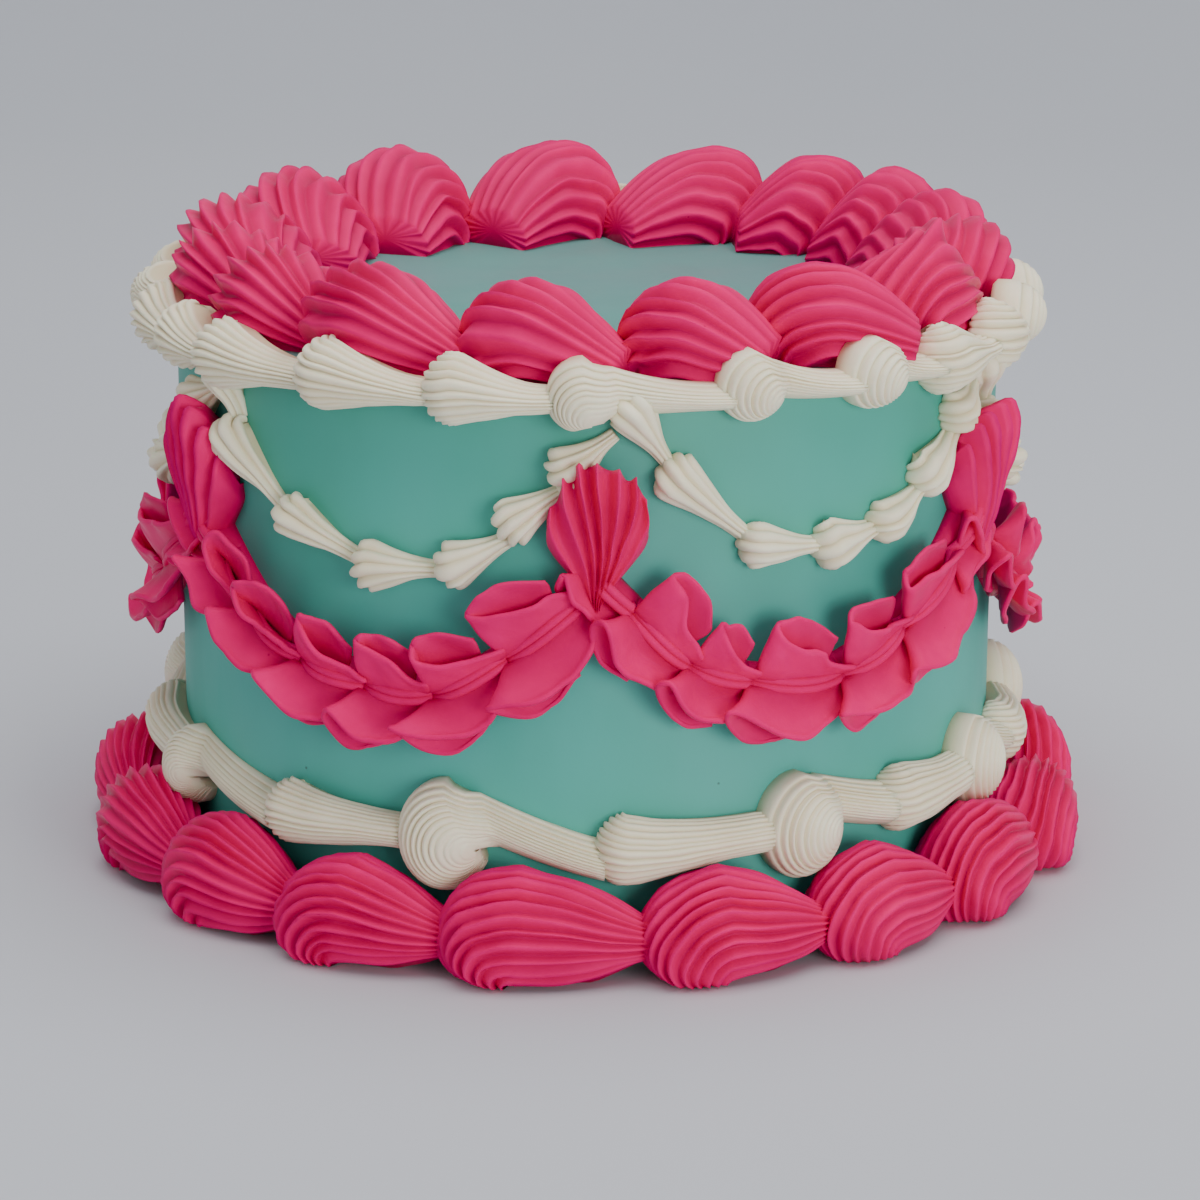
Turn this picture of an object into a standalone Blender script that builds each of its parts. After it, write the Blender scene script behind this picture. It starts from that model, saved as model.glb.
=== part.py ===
"""A round layer cake in teal icing, with piped pink shells, white borders and swags.

Lengths below are in millimetres. Most pieces are worked out on the unrolled wall of the cake,
where a point is (s, y, z): s the length along a ring, y the distance out from the wall and z
the height. Angle 0 is the front, which faces -Y, and angles grow toward +X.
"""

import math

import bmesh
import bpy
import numpy as np

MM = 0.001

# Cake
BODY_RADIUS = 80.3
BODY_HEIGHT = 108.4
BODY_SEGMENTS = 56
EDGE_ROUND = 2.4
EDGE_MIDDLE = 0.3

# Clearance kept between pieces that touch in the real cake
GAP = 0.3
# The rim border leans on the top shells along a slope: millimetres outward for each one up
RIM_SLOPE = 0.42
WALL = GAP
TOP = BODY_HEIGHT + GAP
LONGEST_WALL_FACE = 9.0
ON_WALL = WALL + 0.01
# Points nearer than this are one: in millimetres, then in metres after a cut
WELD = 1e-4
WELD_AFTER_CUT = 1e-7
CUT_TOLERANCE = 1e-5
SHARP_ANGLE = 50.0

# Shells on the top face
TOP_RING = 70.0
TOP_STARTS = (
    -66.1, -44.9, -18.8, 4.7, 26.6, 50.8, 77.2, 97.2,
    113.0, 129.5, 148.9, 174.9, 202.8, 226.2, 249.8, 275.2,
)
TOP_HEIGHT = 18.6
TOP_HALF_WIDTH = 14.4
TOP_CENTRE = 66.0
TOP_LEAN = 6.0
TOP_HEAD = 11.5
# Head length before its end is cut off straight
TOP_HEAD_UNCUT = 14.5
# Ridges round a section: how many, depth as a share of the section, first and last angle
TOP_RIDGES = (6, 0.1, -18.0, 198.0)
# Change of height from shell to shell: size as a share, and rate
TOP_CHANGE = (0.03, 1.7)
# The last shell was drawn up into a point: its place along and across, height and spread
CLOSING_SHELL = 5
CLOSING_PEAK = 23.0
PEAK_PLACE = (2.0, 1.0)
PEAK_SPREAD = 9.0
PEAK_SHARPNESS = 1.5

# Shells round the foot
BASE_RING = 90.0
BASE_STARTS = (
    -79.0, -56.9, -37.0, -16.4, 6.9, 28.2, 47.4, 67.8,
    91.5, 115.2, 138.9, 162.6, 186.3, 210.0, 233.6, 257.3,
)
BASE_HEIGHT = 21.4
BASE_HALF_WIDTH = 10.2
BASE_CENTRE = 90.2
BASE_HEAD = 14.0
BASE_HEAD_UNCUT = 22.0
BASE_RIDGES = (7, 0.11, -52.0, 140.0)
BASE_CHANGE = (0.04, 2.4)

# White border on the rim
RIM_RING = 85.0
RIM_STARTS = (
    -58.1, -38.8, -21.0, -5.4, 16.0, 33.7, 48.0, 62.3,
    75.0, 89.0, 104.0, 120.0, 137.0, 154.0, 171.0, 188.0,
    205.0, 221.0, 237.0, 252.0, 266.0, 279.0, 290.5,
)
RIM_HEIGHT = 107.4
RIM_HEAD = 6.3
RIM_TAIL = 3.3
RIM_CHANGE = (0.08, 3.1)
# Reach from the wall: a fixed part, then a share of the half width
RIM_OUT = (5.2, 0.72)
RIM_RUNS = ((0, 5), (5, 11), (11, 17), (17, 23))

# White scroll border above the foot: start angle, centre height, half width of each head,
# then centre height and half width of its tail
SCROLL_RING = 88.0
SCROLLS = (
    (-72.0, 20.6, 7.2, 21.5, 4.0), (-45.5, 22.6, 6.4, 23.2, 3.2), (-25.1, 22.2, 9.8, 20.0, 3.2),
    (0.7, 22.2, 6.8, 23.6, 3.8), (22.0, 22.4, 9.4, 24.2, 4.1), (41.2, 24.6, 6.8, 24.4, 4.4),
    (57.0, 23.6, 8.6, 24.0, 3.8), (75.0, 24.0, 6.6, 24.0, 3.8), (93.0, 22.8, 9.2, 22.8, 3.6),
    (112.0, 23.6, 6.6, 23.8, 3.8), (131.0, 22.6, 9.4, 22.4, 3.6), (151.0, 23.4, 6.6, 23.8, 3.8),
    (170.0, 22.6, 9.2, 22.8, 3.6), (190.0, 23.6, 6.6, 23.8, 3.8), (209.0, 22.6, 9.4, 22.4, 3.6),
    (229.0, 23.4, 6.6, 23.8, 3.8), (248.0, 22.6, 9.0, 22.8, 3.6), (268.0, 23.4, 6.6, 23.6, 3.8),
)
SCROLL_OUT = (4.4, 0.62)
SCROLL_NARROWEST = 0.9
SCROLL_RUNS = ((0, 4), (4, 9), (9, 14), (14, 18))

# Swags meet at six places round the wall
SWAG_COUNT = 6
SWAG_STEP = 60.0
JOINT_ANGLE = 2.0
SWAG_RING = 84.0
SWAG_HALF_WIDTH = 4.3
SWAG_OUT = 5.6
SWAG_TOP = 99.9
SWAG_ENDS = 0.55
# Degrees from the joint and height of each shell's start along a swag
SWAG_LINES = (
    ((1.2, 101.0), (5.6, 91.5), (9.4, 85.8), (16.2, 78.6), (23.0, 75.2), (32.1, 74.9),
     (39.0, 79.2), (46.1, 83.8), (50.0, 89.8), (53.4, 95.2), (58.4, 100.2)),
    ((1.2, 96.5), (4.6, 90.0), (10.0, 82.8), (18.0, 76.6), (26.5, 71.6), (35.0, 72.0),
     (42.0, 76.0), (47.0, 83.0), (51.0, 90.2), (55.0, 96.6), (57.8, 100.4)),
)
SWAG_BEADS = 7

# Ruffles hang below the swags
RUFFLE_RING = 88.0
RUFFLE_SEGMENTS = 7
RUFFLE_OUT = 9.6
RUFFLE_RIB_OUT = 5.2
RUFFLE_RIB_PLACE = 0.8
RUFFLE_RIB_WAVE = 0.6
RUFFLE_LOWER_OUT = 0.9
RUFFLE_ROOT = 3.4
RUFFLE_HALF_WIDTH = 10.8
# Reach of the upper and lower petal at each section of a segment, as shares of the full one
PETAL_UP = (0.6, 1.0, 0.92)
PETAL_DOWN = (1.0, 0.6, 0.96)
RUFFLE_LINES = (
    ((0.7, 71.5), (6.4, 62.0), (12.7, 54.6), (20.0, 52.8), (31.3, 52.6), (39.9, 61.0),
     (45.1, 70.6), (51.2, 77.2), (56.8, 84.0)),
    ((0.7, 73.0), (5.4, 69.6), (11.4, 64.6), (18.0, 56.8), (29.3, 50.8), (40.5, 52.6),
     (48.0, 56.6), (53.5, 65.8), (58.4, 73.4)),
)

# Drop shells over the joints: how far down the wall they run
DROP_TOP = 98.0
DROP_TIP = 66.5
DROP_HALF_WIDTH = 9.0
DROP_OUT = 11.0
DROP_HEAD = 8.5
DROP_RIDGES = (7, 0.16, -14.0, 194.0)

# Sections along a shell. Each head section hinges about the foot: the angle it is turned to in
# degrees, then its height and half width as shares of the shell's
BASE_HEADS = ((0.0, 0.44, 0.56), (18.0, 0.7, 0.86), (50.0, 0.92, 1.0), (90.0, 1.0, 1.0))
TOP_HEADS = ((0.0, 0.7, 0.78), (22.0, 0.82, 0.92), (54.0, 0.95, 1.0), (90.0, 1.0, 1.0))
DROP_HEADS = ((0.0, 0.7, 0.9), (40.0, 1.0, 1.0), (90.0, 1.0, 0.98))
# Tail sections: share of the tail's length, top height, bottom height and half width
BASE_TAIL = ((0.46, 0.84, -0.02, 0.82), (1.0, 0.5, 0.24, 0.3))
TOP_TAIL = ((0.5, 0.82, -0.25, 0.88), (1.0, 0.42, -0.15, 0.5))
DROP_TAIL = ((0.45, 0.76, -0.3, 0.74), (1.0, 0.3, -0.2, 0.16))
HINGE_DEPTH = 0.6
# How high the widest line of a section lies, as a share of its height
BASE_BELLY = 0.45
TOP_BELLY = 0.22
DROP_BELLY = 0.2

# Sections along one bead of a border: share of its length, then shares of head and tail size
BEAD_SECTIONS = ((0.0, 0.45, 0.0), (0.1, 0.9, 0.0), (0.32, 1.0, 0.0), (0.66, 0.22, 0.78))
SMALL_BEAD_SECTIONS = ((0.0, 0.0, 1.0), (0.22, 1.0, 0.0), (0.6, 0.72, 0.0))
SWAG_TAIL_SHARE = 0.42
# Points round an arched section
BORDER_ARCH = 6
SWAG_ARCH = 5

# Smooth cutters: points round a section and growth over the real piece
SHELL_CUTTER = (8, 3 * GAP)
DROP_CUTTER = (7, 4 * GAP)
# How far past a run's ends its cutters are looked for, in radians
CUTTER_MARGIN = 0.4
# Direction of the plain underside of a ridged section
UNDERSIDE = 275.0
CURVE_STEPS = 8

TEAL = (0.16, 0.42, 0.36)
PINK = (0.72, 0.016, 0.13)
WHITE = (0.80, 0.75, 0.62)


def icing(name, colour, roughness):
    """A dull icing of one colour."""
    material = bpy.data.materials.new(name)
    material.use_nodes = True
    shader = material.node_tree.nodes["Principled BSDF"]
    shader.inputs["Base Color"].default_value = (*colour, 1.0)
    shader.inputs["Roughness"].default_value = roughness
    shader.inputs["Metallic"].default_value = 0.0
    return material


def on_cake(points, ring):
    """Roll points (s, y, z) up on the wall, so that s keeps its length at the ring's radius."""
    angle = points[..., 0] / ring
    radius = BODY_RADIUS + points[..., 1]
    rolled = (radius * np.sin(angle), -radius * np.cos(angle), points[..., 2])
    return np.stack(rolled, axis=-1)


def mesh_of_rows(rows):
    """A closed body through closed rows of points, with a flat face at each end."""
    body = bmesh.new()
    rings = [[body.verts.new(point) for point in row] for row in rows]
    count = len(rings[0])
    for first, second in zip(rings, rings[1:]):
        for i in range(count):
            j = (i + 1) % count
            body.faces.new((first[i], first[j], second[j], second[i]))
    body.faces.new(reversed(rings[0]))
    body.faces.new(rings[-1])
    return body


def cut_away(body, point, normal):
    """Drop what lies on the normal's side of a plane and close the body there."""
    geometry = body.verts[:] + body.edges[:] + body.faces[:]
    bmesh.ops.bisect_plane(
        body, geom=geometry, dist=CUT_TOLERANCE, plane_co=point, plane_no=normal, clear_outer=True
    )
    edges = [edge for edge in body.edges if edge.is_boundary]
    if edges:
        bmesh.ops.holes_fill(body, edges=edges, sides=0)


def split_wall_faces(body):
    """Split the long faces along the wall, so that they follow its curve."""
    ends = [vert.co.x for vert in body.verts]
    steps = math.ceil((max(ends) - min(ends)) / LONGEST_WALL_FACE)
    for step in range(1, steps):
        s = min(ends) + (max(ends) - min(ends)) * step / steps
        faces = [face for face in body.faces if is_on_wall(face)]
        edges = {edge for face in faces for edge in face.edges}
        verts = {vert for face in faces for vert in face.verts}
        bmesh.ops.bisect_plane(
            body, geom=[*verts, *edges, *faces], dist=CUT_TOLERANCE,
            plane_co=(s, 0, 0), plane_no=(1, 0, 0),
        )


def is_on_wall(face):
    return len(face.verts) > 4 and all(vert.co.y < ON_WALL for vert in face.verts)


def finished(name, body, ring, material):
    """Triangulate the body, roll it onto the cake and make it an object."""
    split_wall_faces(body)
    bmesh.ops.triangulate(body, faces=body.faces[:])
    bmesh.ops.remove_doubles(body, verts=body.verts[:], dist=WELD)
    points = np.array([vert.co[:] for vert in body.verts])
    for vert, point in zip(body.verts, on_cake(points, ring) * MM):
        vert.co = point
    return made(name, body, material)


def made(name, body, material):
    bmesh.ops.recalc_face_normals(body, faces=body.faces[:])
    if body.calc_volume(signed=True) < 0:
        bmesh.ops.reverse_faces(body, faces=body.faces[:])
    mesh = bpy.data.meshes.new(name)
    body.to_mesh(mesh)
    body.free()
    mesh.shade_smooth()
    mesh.set_sharp_from_angle(angle=math.radians(SHARP_ANGLE))
    mesh.materials.append(material)
    thing = bpy.data.objects.new(name, mesh)
    bpy.context.scene.collection.objects.link(thing)
    return thing


def ridged_columns(ridges, depth, start, stop):
    """Directions round a section, with a crest and a valley for each ridge, and their reach."""
    turns = np.linspace(start, stop, 2 * ridges + 1)
    reach = np.where(np.arange(len(turns)) % 2 == 0, 1.0 - depth, 1.0)
    plain = np.array([(stop + UNDERSIDE) / 2, UNDERSIDE])
    return np.radians(np.append(turns, plain)), np.append(reach, np.ones(2))


def plain_columns(count):
    return np.linspace(0.0, math.tau, count, endpoint=False), np.ones(count)


def shell_rows(columns, height, half_width, head, tail, belly, heads, tail_rows):
    """Sections of a shell lying along +X: its head hinged at the foot, then its tail.

    Each point is (along, across, up) from the foot under the crest."""
    turns, factors = columns
    across = np.cos(turns) * factors
    upward = np.sin(turns) * factors
    rows = []
    for degrees, share, wide in heads:
        turn = math.radians(degrees)
        size = height * share * (1.0 - (1.0 - head / height) * math.cos(turn) ** 2)
        up = size * (belly + (1.0 - belly) * upward)
        rows.append(np.stack(
            (-up * math.cos(turn), half_width * wide * across, up * math.sin(turn)), axis=-1
        ))
    for share, upper, lower, wide in tail_rows:
        middle = height * (upper + lower) / 2
        up = middle + height * (upper - lower) / 2 * upward
        along = np.full_like(up, tail * share)
        rows.append(np.stack((along, half_width * wide * across, up), axis=-1))
    rows = np.array(rows)
    rows[..., 2] -= HINGE_DEPTH
    return rows


def varied(index, change):
    """A factor near 1 that changes from one shell to the next."""
    size, rate = change
    return 1.0 + size * math.sin(rate * index)


def spans(starts):
    """Start and length of each piece round a ring, in degrees."""
    ends = (*starts[1:], starts[0] + 360.0)
    return [(start, end - start) for start, end in zip(starts, ends)]


def base_shell(index, start, span, columns, grow=0.0):
    """Body of one shell at the foot, before it is rolled onto the wall."""
    length = math.radians(span) * BASE_RING
    tall = BASE_HEIGHT * varied(index, BASE_CHANGE)
    rows = shell_rows(
        columns, tall + grow, BASE_HALF_WIDTH + grow, BASE_HEAD_UNCUT + grow,
        length - BASE_HEAD + grow, BASE_BELLY, BASE_HEADS, BASE_TAIL,
    )
    rows[..., 0] += math.radians(start) * BASE_RING + BASE_HEAD
    rows[..., 1] += BASE_CENTRE - BODY_RADIUS
    body = mesh_of_rows(rows)
    return body, math.radians(start) * BASE_RING, length


def make_base_shells(material):
    columns = ridged_columns(*BASE_RIDGES)
    for index, (start, span) in enumerate(spans(BASE_STARTS)):
        body, s, length = base_shell(index, start, span, columns)
        cut_away(body, (0, 0, 0), (0, 0, -1))
        cut_away(body, (0, WALL, 0), (0, -1, 0))
        cut_away(body, (s + GAP / 2, 0, 0), (-1, 0, 0))
        cut_away(body, (s + length - GAP / 2, 0, 0), (1, 0, 0))
        finished(f"base_shell_{index + 1:02d}", body, BASE_RING, material)


def top_shell(index, start, span, columns):
    length = math.radians(span) * TOP_RING
    tall = TOP_HEIGHT * varied(index, TOP_CHANGE)
    rows = shell_rows(
        columns, tall, TOP_HALF_WIDTH, TOP_HEAD_UNCUT, length - TOP_HEAD,
        TOP_BELLY, TOP_HEADS, TOP_TAIL,
    )
    if index == CLOSING_SHELL:
        rows = with_peak(rows)
    rows[..., 0] += math.radians(start) * TOP_RING + TOP_HEAD
    rows[..., 1] += TOP_CENTRE - BODY_RADIUS + TOP_LEAN * rows[..., 2] / TOP_HEIGHT
    rows[..., 2] += TOP
    return mesh_of_rows(rows), math.radians(start) * TOP_RING, length


def with_peak(rows):
    """Draw the crest of the last shell up into a soft point."""
    offset = np.hypot(rows[..., 0] - PEAK_PLACE[0], rows[..., 1] - PEAK_PLACE[1])
    lift = np.clip(1.0 - offset / PEAK_SPREAD, 0.0, 1.0) ** PEAK_SHARPNESS
    upper = rows[..., 2] > TOP_HEIGHT / 2
    rows[..., 2] += lift * (CLOSING_PEAK - TOP_HEIGHT) * upper
    return rows


def make_top_shells(material):
    columns = ridged_columns(*TOP_RIDGES)
    for index, (start, span) in enumerate(spans(TOP_STARTS)):
        body, s, length = top_shell(index, start, span, columns)
        cut_away(body, (0, 0, TOP), (0, 0, -1))
        cut_away(body, (0, -GAP / 2, TOP), (0, 1, -RIM_SLOPE))
        cut_away(body, (s + GAP / 2, 0, 0), (-1, 0, 0))
        cut_away(body, (s + length - GAP / 2, 0, 0), (1, 0, 0))
        finished(f"top_shell_{index + 1:02d}", body, TOP_RING, material)


def strand(path, half_widths, outs, turns, flat=WALL):
    """A body along a path of (s, z) points on the wall, arched in section."""
    path = np.array(path)
    along = np.gradient(path, axis=0)
    along /= np.linalg.norm(along, axis=1)[:, None]
    normal = np.stack((-along[:, 1], along[:, 0]), axis=-1)
    rows = []
    for centre, side, half, out in zip(path, normal, half_widths, outs):
        spread = centre + side * (half * np.cos(turns))[:, None]
        rows.append(np.stack((spread[:, 0], flat + out * np.sin(turns), spread[:, 1]), axis=-1))
    return mesh_of_rows(rows)


def arch(count):
    return np.linspace(0.0, math.pi, count)


def reach_of(half_width, reach):
    fixed, share = reach
    return fixed + share * half_width


def rim_run(first, last):
    """Path, half widths and reach of the rim border from one bead to another."""
    path, halves = [], []
    for index, (start, span) in enumerate(spans(RIM_STARTS)):
        if not first <= index < last:
            continue
        head = RIM_HEAD * varied(index, RIM_CHANGE)
        for share, of_head, of_tail in BEAD_SECTIONS:
            path.append((math.radians(start + span * share) * RIM_RING, RIM_HEIGHT))
            halves.append(max(head * of_head + RIM_TAIL * of_tail, RIM_TAIL))
        end = start + span
    path.append((math.radians(end) * RIM_RING, RIM_HEIGHT))
    halves.append(RIM_TAIL)
    outs = [reach_of(half, RIM_OUT) for half in halves]
    return path, halves, outs


def scroll_run(first, last):
    """Path, half widths and reach of the scroll border from one head to another."""
    path, halves = [], []
    starts = [scroll[0] for scroll in SCROLLS]
    for start, span in spans(starts)[first:last]:
        _, head_z, head, tail_z, tail = SCROLLS[starts.index(start)]
        for share, of_head, of_tail in BEAD_SECTIONS:
            weight = min(1.0, of_head + (share == 0.0))
            path.append((
                math.radians(start + span * share) * SCROLL_RING,
                head_z * weight + tail_z * (1.0 - weight),
            ))
            halves.append(max(head * of_head + tail * of_tail, SCROLL_NARROWEST * tail))
    path.append((math.radians(start + span) * SCROLL_RING, tail_z))
    halves.append(tail)
    outs = [reach_of(half, SCROLL_OUT) for half in halves]
    return path, halves, outs


def ended(body, path):
    """Leave half the clearance at each end of a run."""
    cut_away(body, (path[0][0] + GAP / 2, 0, 0), (-1, 0, 0))
    cut_away(body, (path[-1][0] - GAP / 2, 0, 0), (1, 0, 0))


def make_rim_border(material):
    for number, (first, last) in enumerate(RIM_RUNS, 1):
        path, halves, outs = rim_run(first, last)
        body = strand(path, halves, outs, arch(BORDER_ARCH))
        cut_away(body, (0, WALL, TOP), (0, -1, RIM_SLOPE))
        ended(body, path)
        finished(f"rim_border_{number}", body, RIM_RING, material)


def make_scroll_border(material):
    for number, (first, last) in enumerate(SCROLL_RUNS, 1):
        path, halves, outs = scroll_run(first, last)
        body = strand(path, halves, outs, arch(BORDER_ARCH))
        ended(body, path)
        run = finished(f"scroll_border_{number}", body, SCROLL_RING, material)
        ends = path[0][0] / SCROLL_RING, path[-1][0] / SCROLL_RING
        carve(run, base_shell_cutters(*ends))


def base_shell_cutters(first, last):
    """Smooth shells a little larger than the real ones between two angles."""
    cutters = []
    points, grow = SHELL_CUTTER
    for index, (start, span) in enumerate(spans(BASE_STARTS)):
        middle = math.radians(start + span / 2)
        for turn in (-math.tau, 0.0, math.tau):
            if first - CUTTER_MARGIN < middle + turn < last + CUTTER_MARGIN:
                body, _, _ = base_shell(index, start, span, plain_columns(points), grow)
                cutters.append(finished(f"cutter_{index}", body, BASE_RING, None))
                break
    return cutters


def carve(thing, cutters):
    """Take the cutters' volume out of a body, then drop them and any scrap."""
    tools = bpy.data.collections.new("cutters")
    bpy.context.scene.collection.children.link(tools)
    for cutter in cutters:
        tools.objects.link(cutter)
        bpy.context.scene.collection.objects.unlink(cutter)
    modifier = thing.modifiers.new("carve", "BOOLEAN")
    modifier.operation = "DIFFERENCE"
    modifier.operand_type = "COLLECTION"
    modifier.solver = "EXACT"
    modifier.collection = tools
    graph = bpy.context.evaluated_depsgraph_get()
    mesh = bpy.data.meshes.new_from_object(thing.evaluated_get(graph))
    thing.modifiers.clear()
    thing.data = mesh
    for cutter in cutters:
        bpy.data.objects.remove(cutter)
    bpy.data.collections.remove(tools)
    keep_largest(mesh)


def keep_largest(mesh):
    body = bmesh.new()
    body.from_mesh(mesh)
    bmesh.ops.remove_doubles(body, verts=body.verts[:], dist=WELD_AFTER_CUT)
    islands = []
    left = set(body.verts)
    while left:
        island, edge = set(), [left.pop()]
        while edge:
            vert = edge.pop()
            island.add(vert)
            for link in vert.link_edges:
                other = link.other_vert(vert)
                if other in left:
                    left.discard(other)
                    edge.append(other)
        islands.append(island)
    largest = max(islands, key=len)
    scraps = [vert for vert in body.verts if vert not in largest]
    bmesh.ops.delete(body, geom=scraps, context="VERTS")
    bmesh.ops.triangulate(body, faces=body.faces[:])
    body.to_mesh(mesh)
    body.free()


def smooth_line(points, count):
    """Evenly spaced points along a smooth curve through the given ones."""
    points = np.array(points)
    ends = 2 * points[0] - points[1], 2 * points[-1] - points[-2]
    padded = np.vstack((ends[0], points, ends[1]))
    fine = []
    for i in range(len(points) - 1):
        before, here, there, after = padded[i:i + 4]
        for t in np.linspace(0.0, 1.0, CURVE_STEPS, endpoint=False):
            fine.append(0.5 * (
                2 * here + (there - before) * t
                + (2 * before - 5 * here + 4 * there - after) * t * t
                + (3 * here - 3 * there + after - before) * t ** 3
            ))
    fine = np.array([*fine, points[-1]])
    run = np.append(0.0, np.cumsum(np.linalg.norm(np.diff(fine, axis=0), axis=1)))
    places = np.linspace(0.0, run[-1], count)
    return np.stack([np.interp(places, run, fine[:, i]) for i in (0, 1)], axis=-1)


def swag_points(index, lines, ring):
    """A swag's line on the unrolled wall, from its left joint to its right one."""
    joint = JOINT_ANGLE + SWAG_STEP * index
    line = lines[index % 2]
    return [(math.radians(joint + turn) * ring, z) for turn, z in line]


def make_swags(material):
    for index in range(SWAG_COUNT):
        sections = len(SMALL_BEAD_SECTIONS)
        line = swag_points(index, SWAG_LINES, SWAG_RING)
        path = smooth_line(line, SWAG_BEADS * sections + 1)
        halves, outs = [], []
        for step in range(len(path)):
            _, of_head, of_tail = SMALL_BEAD_SECTIONS[step % sections]
            size = of_head + of_tail * SWAG_TAIL_SHARE
            halves.append(SWAG_HALF_WIDTH * size)
            outs.append(SWAG_OUT * size)
        body = strand(path, halves, outs, arch(SWAG_ARCH))
        cut_away(body, (0, 0, SWAG_TOP), (0, 0, 1))
        joint = math.radians(JOINT_ANGLE + SWAG_STEP * index) * SWAG_RING
        cut_away(body, (joint + SWAG_ENDS, 0, 0), (-1, 0, 0))
        far = joint + math.radians(SWAG_STEP) * SWAG_RING - SWAG_ENDS
        cut_away(body, (far, 0, 0), (1, 0, 0))
        swag = finished(f"swag_{index + 1}", body, SWAG_RING, material)
        carve(swag, drop_cutters(index))


def ruffle_rows(path):
    """Sections of a ruffle: a root on the wall, a rib and a flared petal on each side."""
    along = np.gradient(path, axis=0)
    along /= np.linalg.norm(along, axis=1)[:, None]
    normal = np.stack((-along[:, 1], along[:, 0]), axis=-1)
    steps = len(PETAL_UP)
    rows = []
    for step, (centre, side) in enumerate(zip(path, normal)):
        phase = (step % steps) / steps
        petal = PETAL_UP[step % steps]
        under = PETAL_DOWN[step % steps]
        section = (
            (RUFFLE_ROOT, WALL),
            (RUFFLE_HALF_WIDTH * petal, RUFFLE_OUT * petal),
            (RUFFLE_RIB_PLACE, RUFFLE_RIB_OUT + RUFFLE_RIB_WAVE * math.cos(math.tau * phase)),
            (-RUFFLE_HALF_WIDTH * under, RUFFLE_OUT * RUFFLE_LOWER_OUT * under),
            (-RUFFLE_ROOT, WALL),
        )
        rows.append([
            (centre[0] + side[0] * n, y, centre[1] + side[1] * n) for n, y in section
        ])
    return rows


def make_ruffles(material):
    for index in range(SWAG_COUNT):
        line = swag_points(index, RUFFLE_LINES, RUFFLE_RING)
        path = smooth_line(line, RUFFLE_SEGMENTS * len(PETAL_UP) + 1)
        body = mesh_of_rows(ruffle_rows(path))
        joint = math.radians(JOINT_ANGLE + SWAG_STEP * index) * RUFFLE_RING
        cut_away(body, (joint + GAP, 0, 0), (-1, 0, 0))
        far = joint + math.radians(SWAG_STEP) * RUFFLE_RING - GAP
        cut_away(body, (far, 0, 0), (1, 0, 0))
        ruffle = finished(f"ruffle_{index + 1}", body, RUFFLE_RING, material)
        carve(ruffle, drop_cutters(index))


def drop_shell(index, columns, grow=0.0):
    """Body of one drop: a shell on the wall, its head up and its tail down."""
    length = DROP_TOP - DROP_TIP
    rows = shell_rows(
        columns, DROP_OUT + grow, DROP_HALF_WIDTH + grow, DROP_HEAD + grow,
        length - DROP_HEAD + grow, DROP_BELLY, DROP_HEADS, DROP_TAIL,
    )
    joint = math.radians(JOINT_ANGLE + SWAG_STEP * index) * SWAG_RING
    along, across, up = rows[..., 0], rows[..., 1], rows[..., 2]
    rows = np.stack((joint + across, WALL + up, DROP_TOP - DROP_HEAD - along), axis=-1)
    return mesh_of_rows(rows)


def drop_cutters(index):
    cutters = []
    points, grow = DROP_CUTTER
    for joint in (index, index + 1):
        body = drop_shell(joint, plain_columns(points), grow)
        cutters.append(finished(f"cutter_{joint}", body, SWAG_RING, None))
    return cutters


def make_drops(material):
    columns = ridged_columns(*DROP_RIDGES)
    for index in range(SWAG_COUNT):
        body = drop_shell(index, columns)
        cut_away(body, (0, WALL, 0), (0, -1, 0))
        finished(f"drop_shell_{index + 1}", body, SWAG_RING, material)


def make_cake(material):
    """The plain round cake under the icing decorations."""
    profile = (
        (BODY_RADIUS, 0.0),
        (BODY_RADIUS, BODY_HEIGHT - EDGE_ROUND),
        (BODY_RADIUS - EDGE_MIDDLE * EDGE_ROUND, BODY_HEIGHT - EDGE_MIDDLE * EDGE_ROUND),
        (BODY_RADIUS - EDGE_ROUND, BODY_HEIGHT),
    )
    turns = np.linspace(0.0, math.tau, BODY_SEGMENTS, endpoint=False)
    rows = [
        [(MM * radius * math.sin(turn), -MM * radius * math.cos(turn), MM * z) for turn in turns]
        for radius, z in profile
    ]
    made("cake", mesh_of_rows(rows), material)


def clear_scene():
    for thing in list(bpy.data.objects):
        bpy.data.objects.remove(thing)


def main():
    clear_scene()
    teal = icing("teal_icing", TEAL, 0.55)
    pink = icing("pink_icing", PINK, 0.45)
    white = icing("white_icing", WHITE, 0.5)
    make_cake(teal)
    make_top_shells(pink)
    make_base_shells(pink)
    make_rim_border(white)
    make_scroll_border(white)
    make_swags(white)
    make_ruffles(pink)
    make_drops(pink)


main()
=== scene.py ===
"""Looks of the layer cake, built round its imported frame.

Lengths are in millimetres on the unrolled wall, as points (s, y, z): s the length along a ring,
y the distance out from the wall, z the height. Angle 0 is the front and angles grow toward +X.
"""

import math

import bpy
import numpy as np
from mathutils import Matrix, Vector


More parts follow.
